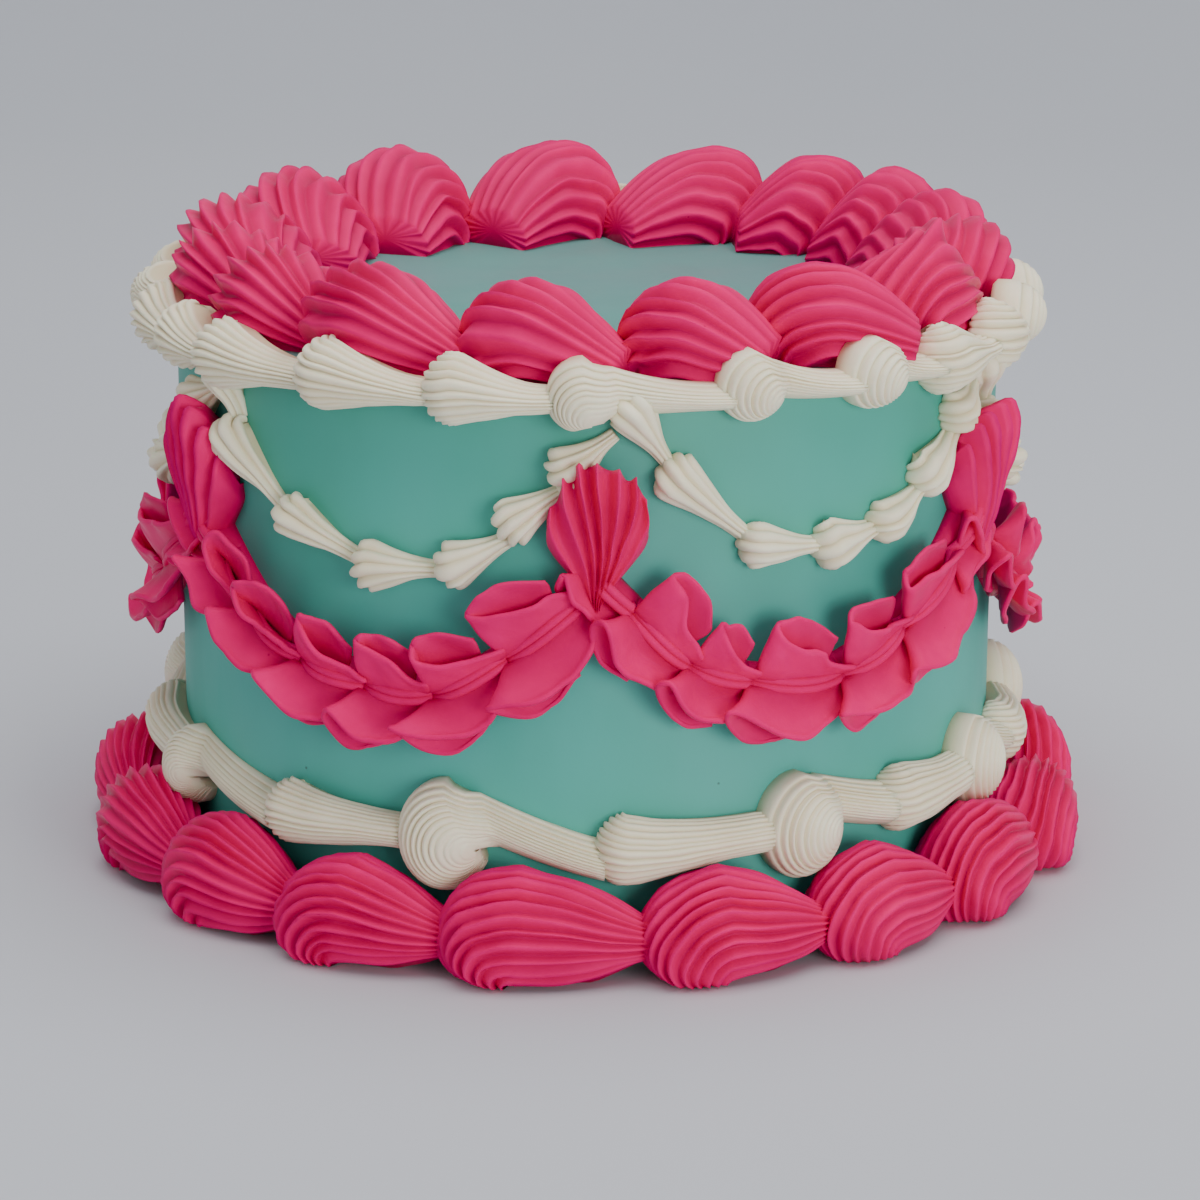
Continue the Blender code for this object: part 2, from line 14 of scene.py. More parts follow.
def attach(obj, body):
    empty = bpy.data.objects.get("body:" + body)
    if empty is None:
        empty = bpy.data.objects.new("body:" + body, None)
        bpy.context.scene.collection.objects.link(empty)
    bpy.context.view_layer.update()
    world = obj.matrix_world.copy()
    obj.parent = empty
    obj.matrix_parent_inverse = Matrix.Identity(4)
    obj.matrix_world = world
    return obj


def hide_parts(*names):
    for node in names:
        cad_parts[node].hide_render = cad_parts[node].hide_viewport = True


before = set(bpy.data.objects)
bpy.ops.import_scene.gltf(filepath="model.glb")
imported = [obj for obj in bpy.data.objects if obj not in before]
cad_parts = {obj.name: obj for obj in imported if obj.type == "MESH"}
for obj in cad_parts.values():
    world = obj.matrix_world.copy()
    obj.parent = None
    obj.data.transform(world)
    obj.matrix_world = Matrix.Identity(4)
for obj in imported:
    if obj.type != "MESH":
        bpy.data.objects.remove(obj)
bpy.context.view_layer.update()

MM = 0.001
RADIUS = 80.3
HEIGHT = 108.4
# How far each tail runs on under the next piece
BEYOND = 2.5
# Rounding of the cake's top edge
EDGE = 2.4
# First random seed of each kind of piece
BASE_SEED = 100
RIM_SEED = 300
SCROLL_SEED = 400
SWAG_SEED = 500
RUFFLE_SEED = 600
DROP_SEED = 700

TOP_RING = 70.0
# Radius on which the top shells lie
TOP_MIDDLE = 66.0
TOP_TALL = 18.6
TOP_HALF = 14.2
# Length from a shell's start to its foot, and from its foot to the point that it turns about
TOP_FOOT = 11.5
TOP_PIVOT = 3.0
# The shell with the raised tip, and the height of the tip
TIP_SHELL = 5
TIP_HEIGHT = 5.6
# Slant in degrees from which a tail ends blunt
BLUNT_SLANT = 30
TOP_STARTS = (
    -66.1, -44.9, -18.8, 4.7, 26.6, 50.8, 77.2, 97.2,
    113.0, 129.5, 148.9, 174.9, 202.8, 226.2, 249.8, 275.2,
)
# How far the tail of each top shell turns toward the middle of the cake, in degrees
SLANTS = (-8, -16, -28, -42, -40, -12, 16, 30, 36, 38, 38, 38, 36, 30, 18, 6)
TOP_TWISTS = (16, 10, 6, 2, -14, -6, 10, 12, 14, 12, 14, 12, 14, 16, 14, 16)
TOP_RIDGES = (15, 15, 14, 14, 15, 16, 15, 14, 14, 15, 14, 15, 15, 14, 16, 16)
BASE_RING = 90.0
# Radius on which the base shells lie
BASE_MIDDLE = 90.2
BASE_TALL = 21.4
BASE_HALF = 10.0
BASE_HEAD = 21.5
BASE_FOOT = 14.0
BASE_RIDGES = 14
BASE_TWISTS = (-4, 6, 0, 8, -6)
BASE_STARTS = (
    -79.0, -56.9, -37.0, -16.4, 6.9, 28.2, 47.4, 67.8,
    91.5, 115.2, 138.9, 162.6, 186.3, 210.0, 233.6, 257.3,
)
RIM_RING = 85.0
RIM_HEIGHT = 107.4
RIM_STARTS = (
    -58.1, -38.8, -21.0, -5.4, 16.0, 33.7, 48.0, 62.3,
    75.0, 89.0, 104.0, 120.0, 137.0, 154.0, 171.0, 188.0,
    205.0, 221.0, 237.0, 252.0, 266.0, 279.0, 290.5,
)
RIM_RUNS = ((0, 5), (5, 11), (11, 17), (17, 23))
RIM_HALF = 6.3
RIM_TAIL_HALF = 2.5
RIM_TAIL_OUT = 0.72 * 3.3 + 5.0
RIM_TWISTS = (14, -6, 18)
# Beads turned into scrolls: the ridges' pivot as shares of the head, and their first direction
BIG_SCROLL = ((0.3, -0.66), -150.0)
SMALL_SCROLL = ((0.78, -0.48), -128.0)
LOW_SCROLL = ((0.8, -0.1), -78.0)
RIM_CURLS = {
    3: BIG_SCROLL, 4: SMALL_SCROLL, 5: SMALL_SCROLL, 8: SMALL_SCROLL, 9: SMALL_SCROLL,
    12: BIG_SCROLL, 13: SMALL_SCROLL, 16: SMALL_SCROLL, 19: SMALL_SCROLL, 20: SMALL_SCROLL,
}
SCROLL_RING = 88.0
# Start in degrees, height and half width of the head, height and half width of the tail
SCROLLS = (
    (-72.0, 20.6, 7.2, 21.5, 4.0), (-45.5, 22.6, 6.4, 23.2, 3.2), (-25.1, 22.2, 9.8, 20.0, 3.6),
    (0.7, 22.2, 6.8, 23.6, 3.8), (22.0, 22.4, 9.4, 24.2, 4.1), (41.2, 24.6, 6.8, 24.4, 4.4),
    (57.0, 23.6, 8.6, 24.0, 3.8), (75.0, 24.0, 6.6, 24.0, 3.8), (93.0, 22.8, 9.2, 22.8, 3.6),
    (112.0, 23.6, 6.6, 23.8, 3.8), (131.0, 22.6, 9.4, 22.4, 3.6), (151.0, 23.4, 6.6, 23.8, 3.8),
    (170.0, 22.6, 9.2, 22.8, 3.6), (190.0, 23.6, 6.6, 23.8, 3.8), (209.0, 22.6, 9.4, 22.4, 3.6),
    (229.0, 23.4, 6.6, 23.8, 3.8), (248.0, 22.6, 9.0, 22.8, 3.6), (268.0, 23.4, 6.6, 23.6, 3.8),
)
SCROLL_RUNS = ((0, 4), (4, 9), (9, 14), (14, 18))
SCROLL_CURLS = (0, 2, 4, 6, 8, 10, 12, 14, 16)
SCROLL_TWISTS = (10, -8)
CURL_ROWS = 28
CURL_TAIL_ROWS = 14
CURL_DEPTH = 0.1
# Swags, ruffles and drops repeat in steps from the first joint, in degrees
REPEATS = 6
JOINT_ANGLE = 2.0
STEP = 60.0
SWAG_RING = 84.0
SWAG_HALF = 4.9
SWAG_TWISTS = (22, -16, 12, 26, -8)
# Start and end of each bead along a swag: degrees from the joint and height
SWAG_BEADS = (
    ((0.3, 104.5, 6.2, 92.0), (6.0, 92.0, 17.4, 77.8), (17.0, 78.6, 28.8, 76.4),
     (27.6, 77.0, 38.4, 78.6), (36.8, 79.4, 46.4, 85.0), (44.6, 86.6, 54.4, 94.5),
     (51.8, 96.0, 59.6, 101.5)),
    ((-0.4, 103.0, 2.6, 93.0), (1.4, 91.6, 12.8, 79.4), (14.0, 80.0, 26.2, 72.6),
     (26.4, 73.4, 38.4, 74.0), (38.0, 75.6, 47.0, 82.4), (45.6, 84.4, 54.2, 92.2),
     (52.4, 94.2, 59.4, 101.8)),
)
RUFFLE_RING = 88.0
# Where each length of ruffle ends along the wall: degrees from the joint and height
RUFFLE_ROOTS = (
    ((-2.0, 76.0), (3.4, 68.0), (10.8, 57.6), (18.8, 53.6), (32.0, 52.4), (42.1, 58.6),
     (52.9, 69.0), (60.6, 80.0)),
    ((-3.0, 77.0), (3.6, 68.6), (9.8, 61.0), (18.9, 54.0), (28.8, 51.2), (38.3, 50.8),
     (47.9, 58.6), (57.2, 69.6)),
)
PETAL_LENGTH = 12.2
PETAL_ROWS = 12
PETAL_COLS = 44
PETAL_THICKNESS = 1.05
RIB_ROWS = 16
DROP_END = 67.5
DROP_TOP = 96.6
DROP_RIDGES = 7
DROP_ROWS = 30

# Head sections hinged about the foot: turn in degrees, then height and half width as shares
BASE_HEADS = ((0.0, 0.5, 0.6), (18.0, 0.74, 0.88), (50.0, 0.94, 1.0), (90.0, 1.0, 1.0))
TOP_HEADS = ((0.0, 0.72, 0.78), (22.0, 0.86, 0.93), (54.0, 0.98, 1.0), (90.0, 1.0, 1.0))
ROUND_HEADS = ((0.0, 0.92, 0.84), (25.0, 0.96, 0.95), (55.0, 1.0, 1.0), (90.0, 1.0, 0.98))
STAR_HEADS = ((0.0, 0.86, 0.76), (28.0, 0.92, 0.92), (58.0, 1.0, 1.0), (90.0, 1.0, 0.98))
# Tail sections: share of its length, top and bottom height and half width as shares
BASE_TAIL = ((0.46, 0.84, -0.02, 0.8), (1.0, 0.5, 0.22, 0.34))
BLUNT_TAIL = ((0.3, 0.95, -0.3, 0.97), (0.64, 0.74, -0.25, 0.86), (1.0, 0.42, -0.15, 0.68))
TOP_TAIL = ((0.3, 0.92, -0.3, 0.93), (0.64, 0.68, -0.25, 0.7), (1.0, 0.36, -0.15, 0.44))


def smooth(x, xs, ys):
    """Smooth values through a table."""
    xs = np.asarray(xs, float)
    ys = np.asarray(ys, float)
    slope = np.gradient(ys, xs)
    x = np.clip(x, xs[0], xs[-1])
    i = np.clip(np.searchsorted(xs, x) - 1, 0, len(xs) - 2)
    h = xs[i + 1] - xs[i]
    t = (x - xs[i]) / h
    return (
        (2 * t**3 - 3 * t**2 + 1) * ys[i] + (t**3 - 2 * t**2 + t) * h * slope[i]
        + (3 * t**2 - 2 * t**3) * ys[i + 1] + (t**3 - t**2) * h * slope[i + 1]
    )


def uneven(x, seed, size, rate):
    """A soft random wave with values of about plus and minus size."""
    rng = np.random.default_rng(seed)
    total = np.zeros_like(np.asarray(x, float))
    for octave in (1.0, 1.9, 3.3):
        total = total + np.sin(rate * octave * x + rng.uniform(0, 6.28)) / octave
    return size * total / 1.6


def roll(points, ring):
    """Wrap points of the unrolled wall round the cake, in metres."""
    angle = points[..., 0] / ring
    radius = RADIUS + points[..., 1]
    rolled = (radius * np.sin(angle), -radius * np.cos(angle), points[..., 2])
    return np.stack(rolled, axis=-1) * MM


class Form:
    """Points, painted groove shade values and faces of one piece, gathered patch by patch."""

    def __init__(self):
        self.points, self.groove, self.faces, self.count = [], [], [], 0

    def add(self, points, groove, faces):
        """One closed patch, turned so that its faces point out."""
        tri = np.array([(f[0], f[i], f[i + 1]) for f in faces for i in range(1, len(f) - 1)])
        a, b, c = points[tri[:, 0]], points[tri[:, 1]], points[tri[:, 2]]
        if np.einsum("ij,ij->i", a, np.cross(b, c)).sum() < 0:
            faces = [face[::-1] for face in faces]
        self.faces.extend([tuple(i + self.count for i in face) for face in faces])
        self.points.append(points)
        self.groove.append(groove)
        self.count += len(points)

    def tube(self, grid, groove):
        """A patch closed round its section, with its ends shut."""
        rows, cols = grid.shape[:2]
        index = np.arange(rows * cols).reshape(rows, cols)
        after = np.roll(index, -1, axis=1)
        quads = np.stack((index[:-1], after[:-1], after[1:], index[1:]), axis=-1)
        faces = [tuple(face) for face in quads.reshape(-1, 4).tolist()]
        middles = np.array((grid[0].mean(axis=0), grid[-1].mean(axis=0)))
        for a, b in zip(index[0].tolist(), after[0].tolist()):
            faces.append((b, a, rows * cols))
        for a, b in zip(index[-1].tolist(), after[-1].tolist()):
            faces.append((a, b, rows * cols + 1))
        points = np.vstack((grid.reshape(-1, 3), middles))
        # The end caps get full painted shade.
        self.add(points, np.append(groove.reshape(-1), (1.0, 1.0)), faces)

    def leaf(self, grid, groove, thickness):
        """A thin sheet with both faces and a rounded rim."""
        rows, cols = grid.shape[:2]
        normal = np.cross(np.gradient(grid, axis=0), np.gradient(grid, axis=1))
        normal /= np.linalg.norm(normal, axis=-1)[..., None] + 1e-12
        front = (grid + normal * thickness / 2).reshape(-1, 3)
        back = (grid - normal * thickness / 2).reshape(-1, 3)
        index = np.arange(rows * cols).reshape(rows, cols)
        quads = np.stack(
            (index[:-1, :-1], index[:-1, 1:], index[1:, 1:], index[1:, :-1]), axis=-1
        ).reshape(-1, 4)
        total = rows * cols
        faces = [tuple(face) for face in quads.tolist()]
        faces += [tuple(face) for face in (quads[:, ::-1] + total).tolist()]
        loop = [*index[0], *index[1:, -1], *index[-1, -2::-1], *index[-2:0:-1, 0]]
        inner = np.vstack((
            grid[1][None, 0], grid[1, 1:-1], grid[1][None, -1], grid[1:-1, -2],
            grid[-2][None, -1], grid[-2, -2:0:-1], grid[-2][None, 0], grid[-2:0:-1, 1],
        ))
        edge = grid.reshape(-1, 3)[loop]
        way = edge - inner
        way /= np.linalg.norm(way, axis=-1)[:, None] + 1e-12
        rim = edge + way * thickness * 0.42
        for i in range(len(loop)):
            j = (i + 1) % len(loop)
            a, b, c, d = int(loop[i]), int(loop[j]), 2 * total + j, 2 * total + i
            faces.append((b, a, d, c))
            faces.append((a + total, b + total, c, d))
        # The back of a sheet gets more painted shade than its front, and the rim gets none.
        values = np.concatenate((
            groove.reshape(-1), np.minimum(groove.reshape(-1) + 0.25, 1.0), np.zeros(len(loop))
        ))
        self.add(np.vstack((front, back, rim)), values, faces)

    def make(self, name, material, slot, *nodes):
        """The piece in the scene, in place of its solids."""
        mesh = bpy.data.meshes.new(name)
        mesh.from_pydata(np.vstack(self.points).tolist(), [], self.faces)
        mesh.update()
        values = np.concatenate(self.groove).astype(np.float32)
        # Painted shade per point, in the grooves and under the icing, read by the icing material.
        mesh.attributes.new("groove", "FLOAT", "POINT").data.foreach_set("value", values)
        mesh.shade_smooth()
        mesh.materials.append(material)
        piece = bpy.data.objects.new(name, mesh)
        bpy.context.scene.collection.objects.link(piece)
        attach(piece, "root")
        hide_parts(*nodes)


def ridge_line(ridges, per, power, seed, spread=0.16):
    """Place, height and strength of each point across a ridged face.

    A power makes the ridges sharp, and without one they are round.
    """
    rng = np.random.default_rng(seed)
    x = np.linspace(0.0, ridges, ridges * per + 1)
    d = 1.0 - np.abs(2.0 * (x % 1.0) - 1.0)
    shape = d**power if power else np.sin(0.5 * math.pi * d) ** 0.9
    shift = np.interp(x, np.arange(ridges + 1), rng.normal(0, spread, ridges + 1))
    shift[0] = shift[-1] = 0.0
    strength = 1.0 + 0.2 * rng.normal(size=ridges + 1)
    weight = np.clip(np.interp(x, np.arange(ridges + 1) + 0.5, strength), 0.6, 1.4)
    return np.clip((x + shift) / ridges, 0, 1), shape, weight


def shell(height, half, head, tail, belly, heads, tails, ridges, depth, arc, rows, power,
          seed, twist, per=8, rough=0.010):
    """A ridged shell along +X as (along, across, up), its head hinged about the foot."""
    place, shape, weight = ridge_line(ridges, per, power, seed)
    start, stop = arc
    turns = start + (stop - start) * place
    under = np.linspace(stop, 360.0 + start, 8)[1:-1]
    turns = np.radians(np.append(turns, under))
    drop = np.append((1.0 - shape) * weight, np.full(6, 0.5))
    # Painted shade in the valleys between ridges and all over the underside.
    groove = np.append(1.0 - shape, np.ones(6))
    crest = np.append(shape, np.zeros(6))
    degrees = np.linspace(0.0, 90.0, rows[0])
    heads = np.array(heads)
    share = smooth(degrees, heads[:, 0], heads[:, 1])
    wide = smooth(degrees, heads[:, 0], heads[:, 2])
    grid = []
    rng = np.random.default_rng(seed + 50)
    for degree, s, w in zip(degrees, share, wide):
        turn = math.radians(degree)
        size = height * s * (1.0 - (1.0 - head / height) * math.cos(turn) ** 2)
        around = turns + math.radians(twist) * math.cos(turn)
        reach = 1.0 - depth * drop * (0.85 + 0.15 * math.sin(turn))
        reach = reach + rough * rng.normal(size=len(reach)) * crest * math.cos(turn) ** 0.5
        up = size * (belly + (1.0 - belly) * np.sin(around) * reach)
        grid.append(np.stack(
            (-up * math.cos(turn), half * w * np.cos(around) * reach, up * math.sin(turn)), axis=-1
        ))
    table = np.array(((0.0, 1.0, 2.0 * belly - 1.0, 1.0), *tails))
    shares = np.linspace(0.0, 1.0, rows[1] + 1)[1:]
    tops = smooth(shares, table[:, 0], table[:, 1])
    lows = smooth(shares, table[:, 0], table[:, 2])
    wides = smooth(shares, table[:, 0], table[:, 3])
    for s, top, low, w in zip(shares, tops, lows, wides):
        around = turns - math.radians(twist) * 0.6 * s
        reach = 1.0 - depth * drop * (1.0 - 0.25 * s)
        up = height * ((top + low) / 2 + (top - low) / 2 * np.sin(around) * reach)
        grid.append(np.stack(
            (np.full_like(up, tail * s), half * w * np.cos(around) * reach, up), axis=-1
        ))
    grid = np.array(grid)
    return grid, np.broadcast_to(groove, grid.shape[:2]).copy()


def spans(starts):
    """Start and span of each piece round a whole ring, in degrees."""
    ends = (*starts[1:], starts[0] + 360.0)
    return [(start, end - start) for start, end in zip(starts, ends)]


def soften(grid, seed, size):
    """Shift a patch by a slow uneven wave, so that no two shells are alike."""
    grid = grid.copy()
    for axis in range(3):
        grid[..., axis] += uneven(
            grid[..., 0] + 1.3 * grid[..., 1] + 0.8 * grid[..., 2], seed * 7 + axis, size, 0.24
        )
    return grid


def top_shells(material):
    """The pink ring on the top, each shell slanted and one with a raised tip."""
    for index, (start, span) in enumerate(spans(TOP_STARTS)):
        length = math.radians(span) * TOP_RING
        tall = TOP_TALL * (1.0 + 0.03 * math.sin(1.7 * index))
        tails = BLUNT_TAIL if abs(SLANTS[index]) >= BLUNT_SLANT else TOP_TAIL
        grid, groove = shell(
            tall, TOP_HALF, TOP_HALF, length - TOP_FOOT + BEYOND, 0.22, TOP_HEADS, tails,
            TOP_RIDGES[index], 0.15, (-46.0, 226.0), rows=(22, 20), power=1.2, seed=index,
            twist=TOP_TWISTS[index], rough=0.006,
        )
        grid = soften(grid, index, 0.25)
        if index == TIP_SHELL:
            raise_tip(grid, tall)
        slant = math.radians(SLANTS[index])
        along, out = grid[..., 0] - TOP_PIVOT, grid[..., 1].copy()
        grid[..., 0] = TOP_PIVOT + along * math.cos(slant) + out * math.sin(slant)
        grid[..., 1] = out * math.cos(slant) - along * math.sin(slant)
        grid[..., 0] += math.radians(start) * TOP_RING + TOP_FOOT
        grid[..., 1] += TOP_MIDDLE - RADIUS + 6.0 * grid[..., 2] / TOP_TALL
        grid[..., 2] = np.maximum(grid[..., 2] - 0.6, -1.0) + HEIGHT
        form = Form()
        form.tube(roll(grid, TOP_RING), groove)
        name = f"top_shell_{index + 1:02d}"
        form.make("piped_" + name, material, "pink_icing", name)


def raise_tip(grid, tall):
    """Draw the crown of a shell in and up to a tip, where the ring was closed."""
    offset = np.hypot(grid[..., 0] - 2.0, grid[..., 1] - 1.0)
    lift = np.clip(1.0 - offset / 10.0, 0.0, 1.0) ** 2.0
    high = np.clip(grid[..., 2] / tall, 0.0, 1.0)
    grid[..., 0] -= 0.3 * high**3 * (grid[..., 0] - 2.0)
    grid[..., 1] -= 0.3 * high**3 * (grid[..., 1] - 1.0)
    grid[..., 2] += lift * TIP_HEIGHT * (high > 0.5)


def base_shells(material):
    """The larger pink ring round the foot."""
    for index, (start, span) in enumerate(spans(BASE_STARTS)):
        length = math.radians(span) * BASE_RING
        tall = BASE_TALL * (1.0 + 0.04 * math.sin(2.4 * index))
        grid, groove = shell(
            tall, BASE_HALF, BASE_HEAD, length - BASE_FOOT + BEYOND, 0.45, BASE_HEADS, BASE_TAIL,
            BASE_RIDGES, 0.19, (-50.0, 150.0), rows=(20, 16), power=1.3, seed=BASE_SEED + index,
            twist=BASE_TWISTS[index % len(BASE_TWISTS)],
        )
        grid = soften(grid, 40 + index, 0.35)
        grid[..., 0] += math.radians(start) * BASE_RING + BASE_FOOT
        grid[..., 1] += BASE_MIDDLE - RADIUS
        grid[..., 2] = np.maximum(grid[..., 2] - 0.6, 0.02)
        form = Form()
        form.tube(roll(grid, BASE_RING), groove)
        name = f"base_shell_{index + 1:02d}"
        form.make("piped_" + name, material, "pink_icing", name)


def on_wall(grid, s, z, angle):
    """Lay (along, across, up) on the wall from (s, z), in a direction in degrees."""
    c, n = math.cos(math.radians(angle)), math.sin(math.radians(angle))
    along, across, up = grid[..., 0], grid[..., 1], grid[..., 2]
    return np.stack((s + along * c - across * n, up, z + along * n + across * c), axis=-1)


def bead(form, ring, s, z, half, out, length, tail_half, tail_out, drop, ridges, seed, twist,
         heads, depth=0.12, head=None, angle=0.0, per=7, rows=(13, 12)):
    """One white shell on the wall, its tail running on under the next."""
    head = half if head is None else head
    narrow, low = tail_half / half, tail_out / out
    tails = (
        (0.3, 0.25 + 0.75 * (0.6 + 0.4 * low), -0.4, 0.55 + 0.45 * narrow),
        (0.64, 0.25 + 0.75 * low, -0.4, 0.14 + 0.86 * narrow),
        (1.0, low, -0.4, narrow),
    )
    grid, groove = shell(
        out, half, head, length - head + BEYOND, 0.2, heads, tails, ridges, depth,
        (-6.0, 186.0), rows=rows, power=0, seed=seed, twist=twist, per=per, rough=0.012,
    )
    bent = np.clip(grid[..., 0] / max(length - head, 1.0), 0.0, 1.0)
    grid = soften(grid, seed, 0.16)
    grid[..., 1] += drop * bent * bent * (3 - 2 * bent)
    form.tube(roll(on_wall(grid, s + head, z, angle), ring), groove)


def curl(form, ring, s, z, radius, out, s_next, z_tail, tail_half, tail_out, pivot, first,
         ridges, seed, fall=2.0):
    """A scroll: ridges that turn about a pivot, over a round head and along a tail.

    The head is an ellipse. Its rows sweep round the pivot from the first direction to the top
    of the head, where the tail starts, and fall sets how soon the tail sinks to its height.
    """
    centre = np.array((s + radius[0], z))
    radius = np.array(radius)
    start = centre + radius * np.array(pivot)
    top = math.degrees(math.atan2((1.0 - pivot[1]) * radius[1], -pivot[0] * radius[0])) - 360.0
    angles = np.linspace(first, top, CURL_ROWS)
    inner, outer, along = [], [], []
    for angle in np.radians(angles):
        way = np.array((math.cos(angle), math.sin(angle)))
        a = way / radius
        b = (start - centre) / radius
        root = math.sqrt((a @ b) ** 2 - (a @ a) * (b @ b - 1.0))
        inner.append(start + way * 0.3)
        outer.append(start + way * (root - a @ b) / (a @ a))
        along.append(0.0)
    last_inner, last_outer = inner[-1], outer[-1]
    length = s_next - last_outer[0] + BEYOND
    for share in np.linspace(0.0, 1.0, CURL_TAIL_ROWS + 1)[1:]:
        ease = 1.0 - (1.0 - share) ** fall
        lower = last_inner[1] * (1 - ease) + (z_tail - tail_half) * ease
        upper = last_outer[1] * (1 - ease) + (z_tail + tail_half) * ease
        inner.append(np.array((last_inner[0] + (s_next + BEYOND - last_inner[0]) * share, lower)))
        outer.append(np.array((last_outer[0] + length * share, upper)))
        along.append(share)
    inner, outer, along = np.array(inner), np.array(outer), np.array(along)
    place, shape, weight = ridge_line(ridges, 6, 0, seed, spread=0.1)
    grid = np.empty((len(along), len(place) + 2, 3))
    spread = inner[:, None] + (outer - inner)[:, None] * place[None, :, None]
    offset = (spread - centre) / radius
    ball = out * np.sqrt(np.clip(1.0 - (offset**2).sum(axis=-1), 0.0, 1.0)) ** 0.85
    swept = first - np.append(angles, [top] * CURL_TAIL_ROWS)
    lip = np.clip(1.0 - swept / 22.0, 0.0, 1.0)
    ball *= (1.0 - 0.35 * lip**2)[:, None]
    pipe = (tail_out * (0.5 + 0.5 * along))[:, None] * np.sin(
        math.pi * (0.04 + 0.96 * place)
    )[None] ** 0.62
    pipe *= np.clip((np.arange(len(along)) - 12) / 15.0, 0.0, 1.0)[:, None]
    tall = (ball**4 + pipe**4) ** 0.25
    fade = np.clip(1.9 * place - 0.15, 0.0, 1.0)
    cut_in = CURL_DEPTH * (1.0 - shape) * weight * fade
    size = np.minimum(np.linalg.norm(outer - inner, axis=-1), 9.0)
    tall = np.maximum(tall - cut_in[None] * size[:, None] * (tall > 0.6), 0.0)
    spread = spread + (centre - spread) * (0.35 * cut_in * (place > 0.7))[None, :, None]
    grid[:, :-2, 0] = spread[..., 0]
    grid[:, :-2, 2] = spread[..., 1]
    grid[:, :-2, 1] = tall
    middle, side = (inner + outer) / 2, (outer - inner) / 2
    for column, share in ((-2, 0.7), (-1, -0.7)):
        grid[:, column, 0] = middle[:, 0] + side[:, 0] * share
        grid[:, column, 2] = middle[:, 1] + side[:, 1] * share
        grid[:, column, 1] = -1.0
    # Painted shade in the valleys, fading toward the pivot, and over the hidden sides.
    groove = np.append((1.0 - shape) * fade, np.ones(2))
    form.tube(roll(grid, ring), np.broadcast_to(groove, grid.shape[:2]).copy())


def rim_border(material):
    """The white border under the top edge, shells and scrolls."""
    for number, (first, last) in enumerate(RIM_RUNS, 1):
        form = Form()
        for index in range(first, last):
            start, span = spans(RIM_STARTS)[index]
            half = RIM_HALF + 0.5 * math.sin(3.1 * index)
            s = math.radians(start) * RIM_RING
            length = math.radians(span) * RIM_RING
            out = 0.72 * half + 5.2
            z = RIM_HEIGHT + uneven(index * 2.0, 5, 0.6, 1.0)
            if index in RIM_CURLS:
                pivot, turn = RIM_CURLS[index]
                curl(form, RIM_RING, s, z + 1.0, (half + 0.6, half + 0.7), out, s + length,
                     RIM_HEIGHT - 0.6, RIM_TAIL_HALF, RIM_TAIL_OUT, pivot, turn, 10,
                     RIM_SEED + index)
            else:
                bead(form, RIM_RING, s, z + 0.6, half + 0.7, out, length, 2.3,
                     RIM_TAIL_OUT - 0.6, RIM_HEIGHT - 1.2 - z, 12, RIM_SEED + index,
                     RIM_TWISTS[index % len(RIM_TWISTS)], ROUND_HEADS, depth=0.13)
        form.make(f"piped_rim_border_{number}", material, "white_icing", f"rim_border_{number}")


def scroll_border(material):
    """The white border low on the wall, plain lengths and scrolls by turns."""
    starts = [scroll[0] for scroll in SCROLLS]
    for number, (first, last) in enumerate(SCROLL_RUNS, 1):
        form = Form()
        for index in range(first, last):
            start, span = spans(starts)[index]
            _, z, half, z_tail, tail = SCROLLS[index]
            s = math.radians(start) * SCROLL_RING
            length = math.radians(span) * SCROLL_RING
            out, tail_out = 4.4 + 0.62 * half, 4.4 + 0.62 * tail
            if index in SCROLL_CURLS:
                curl(form, SCROLL_RING, s + 0.8, z + 1.6, (0.98 * half, 1.12 * half), out,
                     s + length, z_tail, tail + 0.3, tail_out, *LOW_SCROLL, 13,
                     SCROLL_SEED + index, fall=1.15)
            else:
                bead(form, SCROLL_RING, s, z, half, out, length, tail, tail_out, z_tail - z,
                     14, SCROLL_SEED + index, SCROLL_TWISTS[index // 2 % 2], ROUND_HEADS)
        form.make(
            f"piped_scroll_border_{number}", material, "white_icing", f"scroll_border_{number}"
        )


def swags(material):
    """The hanging rows of white shells."""
    for number in range(REPEATS):
        form = Form()
        joint = JOINT_ANGLE + STEP * number
        for step, (a0, z0, a1, z1) in enumerate(SWAG_BEADS[number % 2]):
            here = np.array((math.radians(joint + a0) * SWAG_RING, z0))
            there = np.array((math.radians(joint + a1) * SWAG_RING, z1))
            way = there - here
            length = float(np.hypot(*way))
            angle = math.degrees(math.atan2(way[1], way[0]))
            half = SWAG_HALF * (1.0 + 0.07 * math.sin(2.7 * step + number))
            twist = SWAG_TWISTS[(step + number) % len(SWAG_TWISTS)]
            bead(form, SWAG_RING, here[0], here[1], half, 6.8, length, 1.4, 2.6, 0.0, 5,
                 SWAG_SEED + 20 * number + step, twist, STAR_HEADS, depth=0.27, head=5.0,
                 angle=angle, per=10, rows=(13, 13))
        form.make(f"piped_swag_{number + 1}", material, "white_icing", f"swag_{number + 1}")


def line_at(points, distance):
    """Point and direction on a smooth curve through points, at distances along it."""
    points = np.array(points)
    knots = np.append(0.0, np.cumsum(np.linalg.norm(np.diff(points, axis=0), axis=1)))
    fine = np.linspace(0.0, knots[-1], 400)
    curve = np.stack([smooth(fine, knots, points[:, i]) for i in (0, 1)], axis=-1)
    slope = np.gradient(curve, axis=0)
    slope /= np.linalg.norm(slope, axis=1)[:, None]
    place = np.stack([np.interp(distance, fine, curve[:, i]) for i in (0, 1)], axis=-1)
    way = np.stack([np.interp(distance, fine, slope[:, i]) for i in (0, 1)], axis=-1)
    way /= np.linalg.norm(way, axis=-1)[..., None]
    past = distance - np.clip(distance, 0.0, knots[-1])
    return place + way * past[..., None], way


